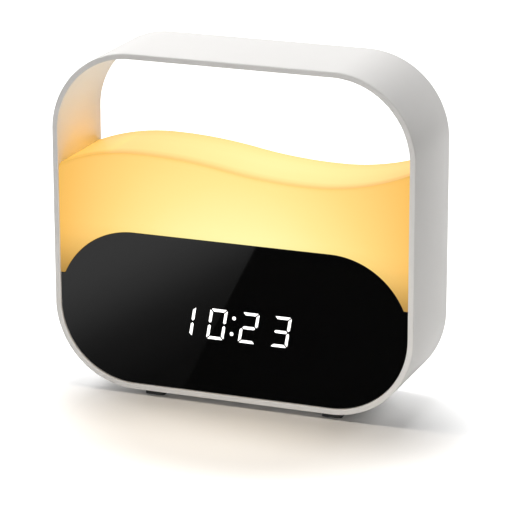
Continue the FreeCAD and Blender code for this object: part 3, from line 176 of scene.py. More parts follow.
def plan_loop():
    """A wall's section, drawn flat, swept round a rounded square and stood upright."""
    tree, given = new_plan("loop moulding", loop_sizes)
    across = reckon(tree, "SUBTRACT", given["Width"], given["Wall"])
    upward = reckon(tree, "SUBTRACT", given["Height"], given["Wall"])
    turn = reckon(tree, "MULTIPLY_ADD", given["Wall"], -0.5, given["Corner"])
    square = add(tree, "GeometryNodeCurvePrimitiveQuadrilateral", {"Width": across, "Height": upward})
    path = add(
        tree,
        "GeometryNodeFilletCurve",
        {"Curve": square.outputs[0], "Count": loop_corner_points, "Radius": turn},
        mode="POLY",
    )
    level = add(tree, "GeometryNodeSetCurveNormal", {"Curve": path.outputs[0]}, mode="Z_UP")
    strip = add(
        tree, "GeometryNodeCurvePrimitiveQuadrilateral", {"Width": given["Wall"], "Height": given["Depth"]}
    )
    spot = add(tree, "ShaderNodeSeparateXYZ", {0: add(tree, "GeometryNodeInputPosition").outputs[0]})
    outer = reckon(tree, "GREATER_THAN", spot.outputs["X"], 0.0)
    span = reckon(tree, "SUBTRACT", given["Outer edge"], given["Bevel"])
    edge = reckon(tree, "MULTIPLY_ADD", span, outer, given["Bevel"])
    section = add(
        tree,
        "GeometryNodeFilletCurve",
        {"Curve": strip.outputs[0], "Count": loop_edge_points, "Radius": edge},
        mode="POLY",
    )
    swept = add(
        tree, "GeometryNodeCurveToMesh", {"Curve": level.outputs[0], "Profile Curve": section.outputs[0]}
    )
    lift = add(tree, "ShaderNodeCombineXYZ", {"Z": given["Middle"]}).outputs[0]
    upright = add(
        tree,
        "GeometryNodeTransform",
        {"Geometry": swept.outputs[0], "Translation": lift, "Rotation": (math.radians(90), 0.0, 0.0)},
    )
    close_plan(tree, upright.outputs[0], given, crisp=5)
    return tree


satin_white = moulded("satin off-white", (0.80, 0.785, 0.765), 0.42, depth=0.12, drift=0.012)
loop = grow("loop_moulding", plan_loop(), loop_sizes, satin_white)
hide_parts("frame_band")
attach(loop, "housing")

# Feet: four small pads of dark rubber with rounded corners, stuck under the loop over its screws. The
# right-hand pair stands a little farther out than the left-hand one.
foot_sizes = {
    "Length": 0.010,
    "Breadth": 0.012,
    "Thickness": loop_rise,
    "Corner": 0.002,
    "Left": -0.038,
    "Right": 0.0465,
    "Reach": 0.016,
}
foot_corner_points = 7
# The two pushes that make a pad: each one's share of the thickness, and the scale of what it moved
foot_steps = ((0.8, 1.0), (0.2, 0.93))


def plan_feet():
    """One pad, pushed down from its outline in two steps, set at four points."""
    tree, given = new_plan("feet", foot_sizes)
    outline = add(
        tree,
        "GeometryNodeCurvePrimitiveQuadrilateral",
        {"Width": given["Length"], "Height": given["Breadth"]},
    )
    rounded = add(
        tree,
        "GeometryNodeFilletCurve",
        {"Curve": outline.outputs[0], "Count": foot_corner_points, "Radius": given["Corner"]},
        mode="POLY",
    )
    pad = add(tree, "GeometryNodeFillCurve", {"Curve": rounded.outputs[0]}, mode="NGONS").outputs[0]
    for share, draw_in in foot_steps:
        drop = reckon(tree, "MULTIPLY", given["Thickness"], -share)
        push = add(tree, "ShaderNodeCombineXYZ", {"Z": drop})
        grown = add(
            tree,
            "GeometryNodeExtrudeMesh",
            {"Mesh": pad, "Offset": push.outputs[0], "Offset Scale": 1.0, "Individual": False},
        )
        pad = add(
            tree,
            "GeometryNodeScaleElements",
            {"Geometry": grown.outputs["Mesh"], "Selection": grown.outputs["Top"], "Scale": draw_in},
        ).outputs[0]
    across = reckon(tree, "SUBTRACT", given["Right"], given["Left"])
    deep = reckon(tree, "MULTIPLY", given["Reach"], 2.0)
    middle = reckon(tree, "MULTIPLY", reckon(tree, "ADD", given["Right"], given["Left"]), 0.5)
    grid = add(
        tree, "GeometryNodeMeshGrid", {"Size X": across, "Size Y": deep, "Vertices X": 2, "Vertices Y": 2}
    )
    place = add(tree, "ShaderNodeCombineXYZ", {"X": middle, "Z": given["Thickness"]}).outputs[0]
    points = add(tree, "GeometryNodeTransform", {"Geometry": grid.outputs["Mesh"], "Translation": place})
    feet = add(tree, "GeometryNodeInstanceOnPoints", {"Points": points.outputs[0], "Instance": pad})
    close_plan(tree, feet.outputs[0], given, crisp=40)
    return tree


soft_rubber = moulded("dark rubber", (0.022, 0.022, 0.023), 0.75, texture=0.0005, depth=0.5, drift=0.2)
feet = grow("rubber_feet", plan_feet(), foot_sizes, soft_rubber)
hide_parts(*(f"foot_{end}_{hand}" for end in ("front", "back") for hand in ("left", "right")))
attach(feet, "housing")

# Chassis tray and its screws: a deep tray of plain white plastic that everything is fixed to, held to the
# loop's floor by four zinc-plated screws under the feet.


def dress(finish, *names):
    """Gives CAD nodes a finish."""
    for name in names:
        for place in cad[name].material_slots:
            place.material = finish


def brushed(name, colour, rough, grain=(1.0, 1.0, 1.0), size=0.0006, **sockets):
    """Metal with fine lines drawn along one axis, or an even tumbled grain."""
    material, tree, shader = new_finish(name, Metallic=1.0, **sockets)
    place = add(tree, "ShaderNodeTexCoord").outputs["Object"]
    stretched = add(tree, "ShaderNodeVectorMath", {0: place, 1: grain}, operation="MULTIPLY").outputs[0]
    lines = clouds(tree, size, stretched, detail=4.0, rough=0.7)
    dark = tuple(c * 0.82 for c in colour)
    tree.links.new(blend_colours(tree, lines, dark, colour), shader.inputs["Base Color"])
    tree.links.new(spread(tree, lines, rough - 0.08, rough + 0.1), shader.inputs["Roughness"])
    relief(tree, shader, lines, depth=0.2, distance=0.00005)
    return material


dress(moulded("plain white plastic", (0.76, 0.76, 0.74), 0.5), "chassis")
zinc = brushed("zinc plate", (0.60, 0.61, 0.63), 0.32, size=0.0004)
dress(zinc, "chassis_screws")

# Display module: a black moulded block whose slanted wells are filled with clear resin, one for each
# segment, on a small green board that screws hold.
black_plastic = moulded("black plastic", (0.018, 0.018, 0.019), 0.45)
dress(black_plastic, "display_block")


def lit_resin(name, colour, strength):
    """Milky resin, a little brighter in places, that glows by its strength."""
    material, tree, shader = new_finish(name, Roughness=0.35)
    patches = clouds(tree, 0.002)
    dull = tuple(c * 0.96 for c in colour)
    even = blend_colours(tree, patches, dull, colour)
    tree.links.new(even, shader.inputs["Base Color"])
    tree.links.new(even, shader.inputs["Emission Color"])
    shader.inputs["Emission Strength"].default_value = strength
    return material


dress(lit_resin("clear resin", (0.72, 0.74, 0.76), 0.0), "display_segments")

track_length = 0.006
track_pitch = 0.0013
track_width = 0.00012


def circuit_board(name, mask, track):
    """A lacquered board: copper tracks show through as a paler net of straight runs."""
    material, tree, shader = new_finish(name, Roughness=0.32, Coat_Weight=0.4)
    place = add(tree, "ShaderNodeTexCoord").outputs["Object"]
    upright = {"Vector": place, "Rotation": (math.radians(90), 0, 0)}
    runs = add(
        tree,
        "ShaderNodeTexBrick",
        {
            "Vector": add(tree, "ShaderNodeMapping", upright).outputs[0],
            "Scale": 1.0,
            "Brick Width": track_length,
            "Row Height": track_pitch,
            "Mortar Size": track_width,
            "Color1": (*mask, 1),
            "Color2": (*(c * 0.85 for c in mask), 1),
            "Mortar": (*track, 1),
        },
    )
    tree.links.new(runs.outputs["Color"], shader.inputs["Base Color"])
    relief(tree, shader, runs.outputs["Fac"], depth=0.3)
    return material


green_board = circuit_board("green board", (0.012, 0.085, 0.035), (0.03, 0.16, 0.07))
dress(green_board, "display_board")
dress(zinc, "display_board_screws")

# Lens: a sheet of gloss black acrylic with polished edges, on a ring of foam tape. Its outline follows
# the loop's inside up to the shoulders, steps in to two large arcs and ends in a flat top.
lens_front = -0.02295
lens_thick = 0.002
lens_corner = 0.03515
lens_corner_at = (0.047, loop_rise + 0.0380)
lens_curve = 0.037
lens_curve_at = (0.04635, loop_rise + 0.0364)
lens_shoulder = loop_rise + 0.0513
lens_edge_round = 0.0002
lens_corner_steps = 32
lens_curve_steps = 40


def on_circle(middle, radius, turn):
    """The (x, z) point at one angle of a circle."""
    return middle[0] + radius * math.cos(turn), middle[1] + radius * math.sin(turn)


def lens_outline(inset):
    """The lens's edge as (x, z) points, drawn in by inset, anticlockwise from the middle of the bottom."""
    corner = lens_corner - inset
    curve = lens_curve - inset
    step = lens_shoulder - inset
    lift = math.asin((step - lens_curve_at[1]) / curve)
    right = []
    for n in range(lens_corner_steps + 1):
        turn = math.radians(270 + 90 * n / lens_corner_steps)
        right.append(on_circle(lens_corner_at, corner, turn))
    right.append((lens_corner_at[0] + corner, step))
    for n in range(lens_curve_steps + 1):
        turn = lift + (math.pi / 2 - lift) * n / lens_curve_steps
        right.append(on_circle(lens_curve_at, curve, turn))
    return right + [(-x, z) for x, z in reversed(right)]


def plate(name, rings, finish):
    """A flat piece from rings of (x, z) points, each at its own y, from front to back. Its two large faces,
    which come first in the mesh, are shaded flat so that they mirror truly."""
    shape = bmesh.new()
    loops = [[shape.verts.new((x, y, z)) for x, z in points] for points, y in rings]
    shape.faces.new(loops[0])
    shape.faces.new(reversed(loops[-1]))
    for front, back in zip(loops, loops[1:]):
        for n, corner in enumerate(front):
            after = (n + 1) % len(front)
            shape.faces.new((corner, back[n], back[after], front[after]))
    bmesh.ops.recalc_face_normals(shape, faces=shape.faces)
    mesh = bpy.data.meshes.new(name)
    shape.to_mesh(mesh)
    shape.free()
    mesh.shade_smooth()
    mesh.set_sharp_from_angle(angle=math.radians(20))
    for face in mesh.polygons[:2]:
        face.use_smooth = False
    return keep(name, mesh, finish)


def edge_rings(outline, front, back, round_by, steps=4):
    """Rings for a plate whose front edge is rounded a little."""
    rings = []
    for n in range(steps + 1):
        turn = math.radians(90 * n / steps)
        rings.append((outline(round_by * (1 - math.sin(turn))), front + round_by * (1 - math.cos(turn))))
    return rings + [(outline(0), back)]


def gloss_black():
    """Polished acrylic: deep black, with faint wiping marks in its gloss."""
    material, tree, shader = new_finish("gloss black", IOR=1.49)
    patches = clouds(tree, 0.03, detail=5.0, rough=0.6)
    tree.links.new(
        blend_colours(tree, patches, (0.0016, 0.0016, 0.0017), (0.0024, 0.0024, 0.0024)),
        shader.inputs["Base Color"],
    )
    tree.links.new(spread(tree, patches, 0.02, 0.05), shader.inputs["Roughness"])
    return material


lens_rings = edge_rings(lens_outline, lens_front, lens_front + lens_thick, lens_edge_round)
lens = plate("dark_lens", lens_rings, gloss_black())
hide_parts("front_panel")
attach(lens, "housing")

foam = moulded("black foam", (0.02, 0.02, 0.02), 0.9, texture=0.0006, depth=0.9, drift=0.25)
dress(foam, "panel_tape")

# Lit time: what shows of the display through the lens, as thin lit shapes on its face. Each digit is
# seven slanted bars with mitred ends, and two round dots stand between the hours and the minutes.
time_middle = (0.0008, loop_rise + 0.0353)
digit_half = (0.0041, 0.00715)
digit_pitch = 0.0151
bar_width = 0.00130
bar_gap = 0.00043
bar_trim = 0.00036
digit_lean = math.tan(math.radians(9.5))
dot_radius = 0.00086
dot_reach = 0.0037
dot_sides = 32
lit_proud = 0.00004
lit_strength = 1.1
# Which bars are lit, from the top clockwise and then the middle one
lit_bars = {"1": "bc", "0": "abcdef", "2": "abged", "3": "abgcd"}


def bar_outlines():
    """The seven bars of one digit about its centre, upright, by letter."""
    a, b = digit_half
    w = bar_width
    g = bar_gap
    t = bar_trim
    top = [(a - g - t, b), (a - g - t / 2, b - t / 2), (a - g - w, b - w)]
    top += [(-x, z) for x, z in reversed(top)]
    side = [(a, b - g - t), (a, g + w / 2), (a - w / 2, g), (a - w, g + w / 2), (a - w, b - g - w)]
    side.append((a - t / 2, b - g - t / 2))
    tip = a - w / 2 - g
    flat = tip - w / 2
    middle = [(-tip, 0), (-flat, w / 2), (flat, w / 2), (tip, 0), (flat, -w / 2), (-flat, -w / 2)]
    return {
        "a": top,
        "b": side,
        "c": [(x, -z) for x, z in side],
        "d": [(x, -z) for x, z in top],
        "e": [(-x, -z) for x, z in side],
        "f": [(-x, z) for x, z in side],
        "g": middle,
    }


def lit_shape(shape, points, middle_x):
    """Adds one lit shape to the mesh, leaned over, standing just proud of the lens."""
    rings = []
    for y in (lens_front - lit_proud, lens_front + lit_proud):
        rings.append(
            [shape.verts.new((middle_x + x + z * digit_lean, y, time_middle[1] + z)) for x, z in points]
        )
    shape.faces.new(rings[0])
    shape.faces.new(reversed(rings[1]))
    for n, corner in enumerate(rings[0]):
        after = (n + 1) % len(points)
        shape.faces.new((corner, rings[1][n], rings[1][after], rings[0][after]))


time_shape = bmesh.new()
bars = bar_outlines()
for place, digit in enumerate("1023"):
    digit_x = time_middle[0] + (place - 1.5) * digit_pitch
    for letter in lit_bars[digit]:
        lit_shape(time_shape, bars[letter], digit_x)
round_dot = [on_circle((0, 0), dot_radius, math.tau * n / dot_sides) for n in range(dot_sides)]
for side in (-1, 1):
    lit_shape(time_shape, [(x - z * digit_lean, z + side * dot_reach) for x, z in round_dot], time_middle[0])
bmesh.ops.recalc_face_normals(time_shape, faces=time_shape.faces)
time_mesh = bpy.data.meshes.new("lit_time")
time_shape.to_mesh(time_mesh)
time_shape.free()
lit_time = keep("lit_time", time_mesh, lit_resin("lit white", (1.0, 1.0, 1.0), lit_strength))
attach(lit_time, "housing")

# Lamp: a sheet of white film over the tray's roof, and on it a narrow white board with a row of twelve
# phosphor-yellow light chips, held by two screws.
dress(moulded("white film", (0.9, 0.9, 0.89), 0.35, depth=0.05), "reflector_sheet")
dress(circuit_board("white board", (0.82, 0.82, 0.80), (0.70, 0.70, 0.69)), "lamp_board")
dress(lit_resin("phosphor", (0.95, 0.72, 0.16), 2.0), "lamp_leds")
dress(zinc, "lamp_board_screws")

# Shade: a hollow of milky plastic with a wave for its top. The light of the lamp below it is painted
# on as a glow. Its front edge is rounded over, and it is cut out round the lens and the rear cover.
shade_half = 0.08215
shade_face = 0.02315
shade_low = loop_rise + 0.05145
shade_round = 0.0022
shade_wall = 0.0020
crest = (-0.0449, loop_rise + 0.1093)
trough = (0.0361, loop_rise + 0.10205)
crest_left_curve = 0.0970
crest_right_curve = 0.2280
trough_right_curve = 0.1092
cutout_gap = 0.00015
face_shares = (0, 0.15, 0.3, 0.45, 0.6, 0.75, 0.88, 0.97)
round_steps = 10
top_shares = (0.97, 0.75, 0.5, 0.25)
flat_columns = 24
arc_columns = 36
arc_sweep = math.radians(66)
end_columns = (0.0812, shade_half - 0.0002, shade_half)


def wave(x):
    """Height and slope of the shade's top: four arcs, two over the crest and two through the trough."""
    reach = trough[0] - crest[0]
    drop = crest[1] - trough[1]
    trough_left_curve = (reach**2 + drop**2) / (2 * drop) - crest_right_curve
    turning_x = crest[0] + reach * crest_right_curve / (crest_right_curve + trough_left_curve)
    if x < turning_x:
        radius = crest_left_curve if x < crest[0] else crest_right_curve
        across = x - crest[0]
        down = math.sqrt(radius**2 - across**2)
        return crest[1] - radius + down, -across / down
    radius = trough_left_curve if x < trough[0] else trough_right_curve
    across = x - trough[0]
    down = math.sqrt(radius**2 - across**2)
    return trough[1] + radius - down, across / down


def cutout_height(x):
    """Where the shade's face ends above the lens."""
    reach = lens_curve + cutout_gap
    across = abs(x) - lens_curve_at[0]
    if across <= 0:
        return lens_curve_at[1] + reach
    if across >= reach:
        return shade_low
    return max(lens_curve_at[1] + math.sqrt(reach**2 - across**2), shade_low)


def shade_column(x):
    """The shade's outline in y and z at one x, from the front face's lower edge over the top to the back."""
    height, slope = wave(x)
    low = cutout_height(x)
    round_z = shade_round * math.sqrt(1 + slope**2)
    high = height - round_z
    inner = shade_face - shade_round
    front = [(-shade_face, low + (high - low) * share) for share in face_shares]
    for n in range(round_steps + 1):
        turn = math.radians(90 * n / round_steps)
        front.append((-inner - shade_round * math.cos(turn), high + round_z * math.sin(turn)))
    front += [(-inner * share, height) for share in top_shares]
    return front + [(0.0, height)] + [(-y, z) for y, z in reversed(front)]


def shade_places():
    """Where the columns stand: closer together where the cut-out's arcs turn down."""
    right = [lens_curve_at[0] * n / flat_columns for n in range(flat_columns)]
    for n in range(arc_columns + 1):
        turn = math.pi / 2 - arc_sweep * n / arc_columns
        right.append(lens_curve_at[0] + (lens_curve + cutout_gap) * math.cos(turn))
    right += end_columns
    return [-x for x in reversed(right[1:])] + right


def linear(*levels):
    """A colour given by its levels on a screen, 0 to 255."""
    return tuple(((level / 255 + 0.055) / 1.055) ** 2.4 for level in levels)


# Depth behind the front crease, as a share of the whole depth, and the change in the glow's level there
glow_depths = (
    (0.0, 0),
    (0.02, -6),
    (0.05, -30),
    (0.08, -26),
    (0.14, -10),
    (0.24, 3),
    (0.34, 4),
    (0.55, 6),
    (0.72, 5),
    (0.88, -3),
    (1.0, -12),
)
# Height above the loop's underside and the share of light that gets down there
glow_sides = ((0.050, 0.44), (0.053, 0.48), (0.058, 0.64), (0.064, 0.83), (0.070, 0.96), (0.076, 1.0))
# The colours that the glow runs through as it dims; the glow's level is how much green there is in it
glow_colours = (
    (231, 178, 80),
    (248, 191, 93),
    (254, 203, 110),
    (254, 215, 124),
    (254, 231, 146),
    (254, 246, 171),
    (254, 251, 184),
)
# Where the level is highest, and how it falls towards both ends and, near the middle, towards the top
glow_middle = 0.003
glow_peak = 247.0
glow_end_fall = 8300.0
glow_rise_fall = 650.0
glow_rise_ease = 75000.0
glow_base = 0.076


def ramp(tree, amount, stops):
    """Numbers or colours at places along 0..1."""
    node = add(tree, "ShaderNodeValToRGB", {"Fac": amount})
    slots = node.color_ramp.elements
    slots.remove(slots[1])
    for n, (place, value) in enumerate(stops):
        slot = slots[0] if n == 0 else slots.new(place)
        slot.position = place
        slot.color = (*value, 1) if isinstance(value, tuple) else (value, value, value, 1)
    return node.outputs[0]


def milky_glow():
    """Frosted plastic over a lamp, the lamp's light through it painted on as emission: pale yellow in the
    middle and amber at the ends, where less light reaches it, dimmer low at the sides and along the front
    crease, brighter on top."""
    material, tree, shader = new_finish("milky shade", Roughness=0.45, Specular_IOR_Level=0.3)
    place = add(tree, "ShaderNodeTexCoord").outputs["Object"]
    spot = add(tree, "ShaderNodeSeparateXYZ", {0: place})
    x, y, z = (spot.outputs[axis] for axis in "XYZ")
    off = reckon(tree, "SUBTRACT", x, glow_middle)
    off = reckon(tree, "MULTIPLY", off, off)
    up = reckon(tree, "SUBTRACT", z, loop_rise + glow_base)
    slope = reckon(tree, "MAXIMUM", reckon(tree, "MULTIPLY_ADD", off, -glow_rise_ease, glow_rise_fall), 0.0)
    level = reckon(tree, "MULTIPLY_ADD", off, -glow_end_fall, glow_peak)
    level = reckon(tree, "SUBTRACT", level, reckon(tree, "MULTIPLY", slope, reckon(tree, "MAXIMUM", up, 0.0)))
    depth = add(tree, "ShaderNodeMapRange", {"Value": y, "From Min": -shade_face, "From Max": shade_face})
    least = min(change for place, change in glow_depths)
    most = max(change for place, change in glow_depths)
    steps = [(place, (change - least) / (most - least)) for place, change in glow_depths]
    change = spread(tree, ramp(tree, depth.outputs[0], steps), least, most)
    mottle = spread(tree, clouds(tree, 0.03), -1.0, 1.0)
    level = reckon(tree, "ADD", reckon(tree, "ADD", level, change), mottle)
    low, high = glow_colours[0][1], glow_colours[-1][1]
    level = add(tree, "ShaderNodeMapRange", {"Value": level, "From Min": low, "From Max": high}).outputs[0]
    colours = [((colour[1] - low) / (high - low), linear(*colour)) for colour in glow_colours]
    # The painted lamp light: its colour by level, then its strength by height
    tree.links.new(ramp(tree, level, colours), shader.inputs["Emission Color"])
    bottom, top = loop_rise + glow_sides[0][0], loop_rise + glow_sides[-1][0]
    height = add(tree, "ShaderNodeMapRange", {"Value": z, "From Min": bottom, "From Max": top}).outputs[0]
    shares = [((loop_rise + place - bottom) / (top - bottom), share) for place, share in glow_sides]
    tree.links.new(ramp(tree, height, shares), shader.inputs["Emission Strength"])
    tree.links.new(
        blend_colours(tree, clouds(tree, 0.01), (0.06, 0.042, 0.018), (0.066, 0.045, 0.02)),
        shader.inputs["Base Color"],
    )
    relief(tree, shader, clouds(tree, 0.0005, detail=2.0), depth=0.08)
    return material


shade_shape = bmesh.new()
columns = [[shade_shape.verts.new((x, y, z)) for y, z in shade_column(x)] for x in shade_places()]
for left, right in zip(columns, columns[1:]):
    for n in range(len(left) - 1):
        shade_shape.faces.new((left[n], right[n], right[n + 1], left[n + 1]))
shade_shape.faces.new(columns[0])
shade_shape.faces.new(reversed(columns[-1]))
shade_mesh = bpy.data.meshes.new("lamp_shade")
shade_shape.to_mesh(shade_mesh)
shade_shape.free()
shade_mesh.shade_smooth()
shade_mesh.set_sharp_from_angle(angle=math.radians(40))
shade = keep("lamp_shade", shade_mesh, milky_glow())
wall = shade.modifiers.new("wall", "SOLIDIFY")
wall.thickness = shade_wall
wall.offset = -1
wall.use_even_offset = True
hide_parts("lamp_diffuser")
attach(shade, "housing")

# Main board: a lacquered green board at the back of the tray with chips, capacitors and the six switches
# that the keys press. Its screws go into bosses of the tray.
dress(green_board, "main_board")
dress(zinc, "main_board_screws")
dress(moulded("chip package", (0.03, 0.03, 0.032), 0.6), "board_chips")
dress(brushed("bare can", (0.72, 0.72, 0.74), 0.3, grain=(1.0, 0.1, 1.0)), "board_capacitors")
dress(moulded("switch housing", (0.06, 0.06, 0.065), 0.5), "key_switches")
key_names = ("hour", "minute", "alarm", "light", "volume", "snooze")
dress(moulded("plunger", (0.03, 0.03, 0.03), 0.4), *(f"plunger_{name}" for name in key_names))

# Keys: six round caps of grey moulded plastic. Each slides in a hole of the rear cover, stands a little
# proud of it, and presses a switch on the main board.
dress(moulded("key plastic", (0.46, 0.46, 0.45), 0.36, depth=0.1), *(f"key_{name}" for name in key_names))

# Power inlet: a drawn steel shell, plated with nickel, round a black moulded tongue. It stands on the
# main board behind the cover's socket mouth.
nickel = brushed("nickel plate", (0.68, 0.67, 0.65), 0.28)
dress(nickel, "usb_shell")
dress(black_plastic, "usb_tongue")

# Speaker: a pressed steel basket with a ring magnet and a coated paper cone, seated on a foam gasket
# behind the cover's grille.
dress(brushed("pressed steel", (0.42, 0.42, 0.44), 0.4), "speaker_basket")
dress(brushed("plated magnet", (0.30, 0.30, 0.32), 0.35), "speaker_magnet")
dress(moulded("coated paper", (0.02, 0.02, 0.02), 0.7, texture=0.0008, depth=0.8, drift=0.3), "speaker_cone")
dress(foam, "speaker_gasket")

# Rear cover: a plate of the loop's plastic with a fine etched face, fixed to the tray by four screws. The
# round battery door is moulded of the same and has a screw of its own.
cover_white = moulded("etched off-white", (0.77, 0.755, 0.735), 0.5, texture=0.0004, depth=0.3, drift=0.015)
dress(cover_white, "rear_cover", "battery_door")
dress(zinc, "rear_cover_screws", "battery_door_screw")

# Backup battery: a steel coin cell that lies on two plated contact strips in the cover's cup, under the
# round door.
dress(brushed("cell steel", (0.74, 0.74, 0.75), 0.25), "coin_cell")
dress(nickel, "battery_contacts")

# Leads: a flat ribbon of film from the display board to the main board, and soft insulated leads to the
# main board from the lamp above it and from the speaker beside it.
dress(moulded("ribbon film", (0.78, 0.78, 0.75), 0.3, depth=0.05), "display_ribbon")
dress(moulded("red insulation", (0.42, 0.03, 0.02), 0.5), "lamp_lead", "speaker_lead")

# Floor: a plain pale sheet that runs on under the whole view. Only in an oval round the clock are its
# shadow and its glow seen, and past that the sheet fades to white.
floor_half = 4.0
# The oval's middle and reach along each axis, and where in it the fade starts and ends
floor_reach = (("X", 0.015, 0.115), ("Y", -0.045, 0.090))
floor_fade = (0.45, 1.35)


def pale_floor():
    """A matt pale grey that fades, for the camera, to white with its distance from the clock."""
    material, tree, shader = new_finish("pale floor", Roughness=0.9, Specular_IOR_Level=0.0)
    patches = clouds(tree, 0.2)
    tree.links.new(
        blend_colours(tree, patches, (0.79, 0.79, 0.79), (0.81, 0.81, 0.81)), shader.inputs["Base Color"]
    )
    ray = add(tree, "ShaderNodeLightPath").outputs
    seen = reckon(tree, "MAXIMUM", ray["Is Camera Ray"], ray["Is Transmission Ray"])
    spot = add(tree, "ShaderNodeSeparateXYZ", {0: add(tree, "ShaderNodeTexCoord").outputs["Object"]})
    away = []
    for axis, middle, reach in floor_reach:
        far = reckon(tree, "DIVIDE", reckon(tree, "SUBTRACT", spot.outputs[axis], middle), reach)
        away.append(reckon(tree, "MULTIPLY", far, far))
    away = reckon(tree, "SQRT", reckon(tree, "ADD", *away))
    fade = add(
        tree,
        "ShaderNodeMapRange",
        {"Value": away, "From Min": floor_fade[0], "From Max": floor_fade[1]},
        interpolation_type="SMOOTHSTEP",
    )
    shader.inputs["Emission Color"].default_value = (1, 1, 1, 1)
    tree.links.new(reckon(tree, "MULTIPLY", seen, fade.outputs[0]), shader.inputs["Emission Strength"])
    return material


def lying_sheet(name, x_ends, y_ends, height, finish):
    """A level rectangle that faces up."""
    mesh = bpy.data.meshes.new(name)
    mesh.from_pydata([(x, y, height) for y in y_ends for x in x_ends], [], [(0, 1, 3, 2)])
    return keep(name, mesh, finish)


floor_ends = (-floor_half, floor_half)
floor = lying_sheet("floor", floor_ends, floor_ends, 0.0, pale_floor())

# Reflection card: a sheet lying in front of the clock, hidden from the camera, that glossy surfaces
# reflect. It puts the slanting sheen on the lens, bright at the upper left and cut off along a straight
# edge, as the photo's own view shows it.
card_height = 0.0004
card_x = (-0.20, 0.10)
card_y = (-0.27, -0.030)
# How far a camera ray goes to the left and forward, once the lens has turned it back, for each metre it falls
fall_left = 1.119
fall_forward = 2.806
sheen_edge_x = -0.0247
sheen_edge_lean = 0.4857
sheen_lean = 0.63
sheen_range = (0.030, 0.110)
sheen_least = 0.02
sheen_levels = (
    (0.0, 0.07),
    (0.125, 0.11),
    (0.3125, 0.186),
    (0.425, 0.286),
    (0.525, 0.43),
    (0.625, 0.586),
    (0.75, 0.742),
    (0.8625, 0.858),
    (1.0, 0.92),
)


def sheen():
    """Glows by where on the lens each place on the card is seen."""
    material, tree, shader = new_finish("reflection card", Roughness=1.0, Specular_IOR_Level=0.0)
    shader.inputs["Base Color"].default_value = (0, 0, 0, 1)
    place = add(tree, "ShaderNodeTexCoord").outputs["Object"]
    spot = add(tree, "ShaderNodeSeparateXYZ", {0: place})
    height = reckon(tree, "DIVIDE", reckon(tree, "SUBTRACT", lens_front, spot.outputs["Y"]), fall_forward)
    across = reckon(tree, "MULTIPLY_ADD", height, fall_left, spot.outputs["X"])
    above = reckon(tree, "SUBTRACT", height, loop_rise)
    slant = reckon(tree, "MULTIPLY_ADD", across, -sheen_lean, above)
    low, high = sheen_range
    share = add(tree, "ShaderNodeMapRange", {"Value": slant, "From Min": low, "From Max": high}).outputs[0]
    edge = reckon(tree, "MULTIPLY_ADD", above, sheen_edge_lean, sheen_edge_x)
    left = reckon(tree, "LESS_THAN", across, edge)
    shader.inputs["Emission Color"].default_value = (1, 1, 1, 1)
    level = reckon(tree, "MULTIPLY", ramp(tree, share, sheen_levels), left)
    tree.links.new(reckon(tree, "MAXIMUM", level, sheen_least), shader.inputs["Emission Strength"])
    return material


card = lying_sheet("card", card_x, card_y, card_height, sheen())
card.visible_camera = False
card.visible_diffuse = False
card.visible_transmission = False
card.visible_shadow = False

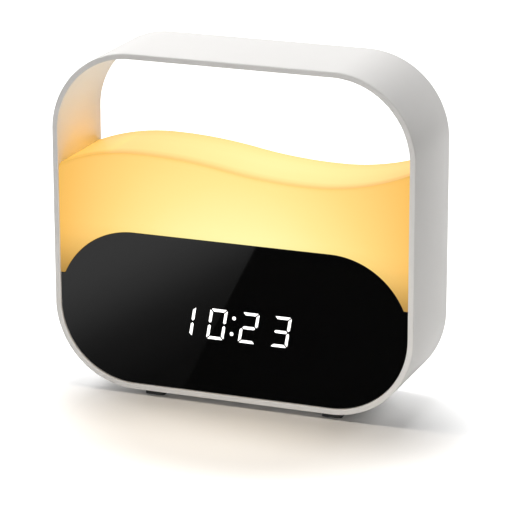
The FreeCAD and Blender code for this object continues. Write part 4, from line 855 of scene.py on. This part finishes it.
# Lights: soft ones overhead, at the left and back left and low in front, three weak ones close by that
# shape the loop's side, its rim and the feet, and two warm ones for the lamp's own glow on the floor and
# up inside the loop. Each has a name, a place, a point that it faces, a size, a power and a colour.
white = (1.0, 1.0, 1.0)
soft_lights = (
    ("overhead", (0.0, 0.05, 1.2), (0.0, 0.0, 0.05), (0.5, 0.5), 6.1, white),
    ("overhead_small", (-0.12, 0.12, 1.0), (0.0, 0.0, 0.05), (0.2, 0.2), 1.15, white),
    ("left", (-0.7, 0.05, 0.9), (0.0, 0.0, 0.05), (0.4, 0.4), 4.4, white),
    ("back_left", (-0.6, 0.55, 1.0), (0.0, 0.0, 0.05), (0.4, 0.4), 2.1, white),
    ("front_low", (0.15, -0.6, 0.12), (0.0, 0.0, 0.06), (0.3, 0.1), 0.68, white),
    ("near_side", (0.15, 0.13, 0.10), (0.085, 0.03, 0.09), (0.06, 0.06), 0.12, white),
    ("near_rim", (0.20, -0.16, 0.10), (0.085, -0.02, 0.08), (0.06, 0.06), 0.010, (1.0, 0.85, 0.6)),
    ("near_foot", (0.05, -0.20, 0.02), (0.02, -0.02, 0.012), (0.20, 0.02), 0.075, white),
    ("glow_forward", (0.0, -0.030, 0.085), (0.0, -0.2, 0.0), (0.14, 0.03), 0.036, (1.0, 0.68, 0.3)),
    ("glow_left", (-0.060, 0.0, 0.1125), (-0.083, 0.0, 0.100), (0.036, 0.004), 0.0036, (1.0, 0.42, 0.0)),
)
for name, place, target, size, power, colour in soft_lights:
    lamp = bpy.data.lights.new(name, "AREA")
    lamp.shape = "RECTANGLE"
    lamp.size, lamp.size_y = size
    lamp.energy = power
    lamp.color = colour
    holder = bpy.data.objects.new(name, lamp)
    bpy.context.scene.collection.objects.link(holder)
    holder.location = place
    holder.rotation_euler = (Vector(target) - Vector(place)).to_track_quat("-Z", "Y").to_euler()
    holder.visible_camera = False
    holder.visible_glossy = False

# Surroundings: an even white that the camera and glossy or clear surfaces see, and which lights the rest
# only a little.
world_light = 0.02
world_seen = 1.0
world = bpy.data.worlds.new("studio")
bpy.context.scene.world = world
world.use_nodes = True
air = world.node_tree
back = air.nodes["Background"]
back.inputs["Color"].default_value = (1, 1, 1, 1)
ray = add(air, "ShaderNodeLightPath").outputs
seen = reckon(air, "MAXIMUM", ray["Is Camera Ray"], ray["Is Glossy Ray"])
seen = reckon(air, "MAXIMUM", seen, ray["Is Transmission Ray"])
air.links.new(spread(air, seen, world_light, world_seen), back.inputs["Strength"])

# Camera: where the photo was taken from, to the right of the clock and above it, with a long lens. Place
# and aim were fitted to the outlines of the loop's rim.
camera_lens = 212.8
camera_place = (0.4706, -1.20205, 0.4614)
camera_aim = (0.01217, -0.02375, 0.07147)
camera_roll = math.radians(-0.12)
camera = bpy.data.cameras.new("camera")
camera.lens = camera_lens
camera.sensor_width = 36
viewer = bpy.data.objects.new("camera", camera)
bpy.context.scene.collection.objects.link(viewer)
viewer.location = camera_place
facing = (Vector(camera_aim) - Vector(camera_place)).to_track_quat("-Z", "Y")
viewer.rotation_mode = "QUATERNION"
viewer.rotation_quaternion = facing @ Quaternion((0, 0, 1), camera_roll)
bpy.context.scene.camera = viewer
bpy.context.scene.view_settings.view_transform = "Standard"
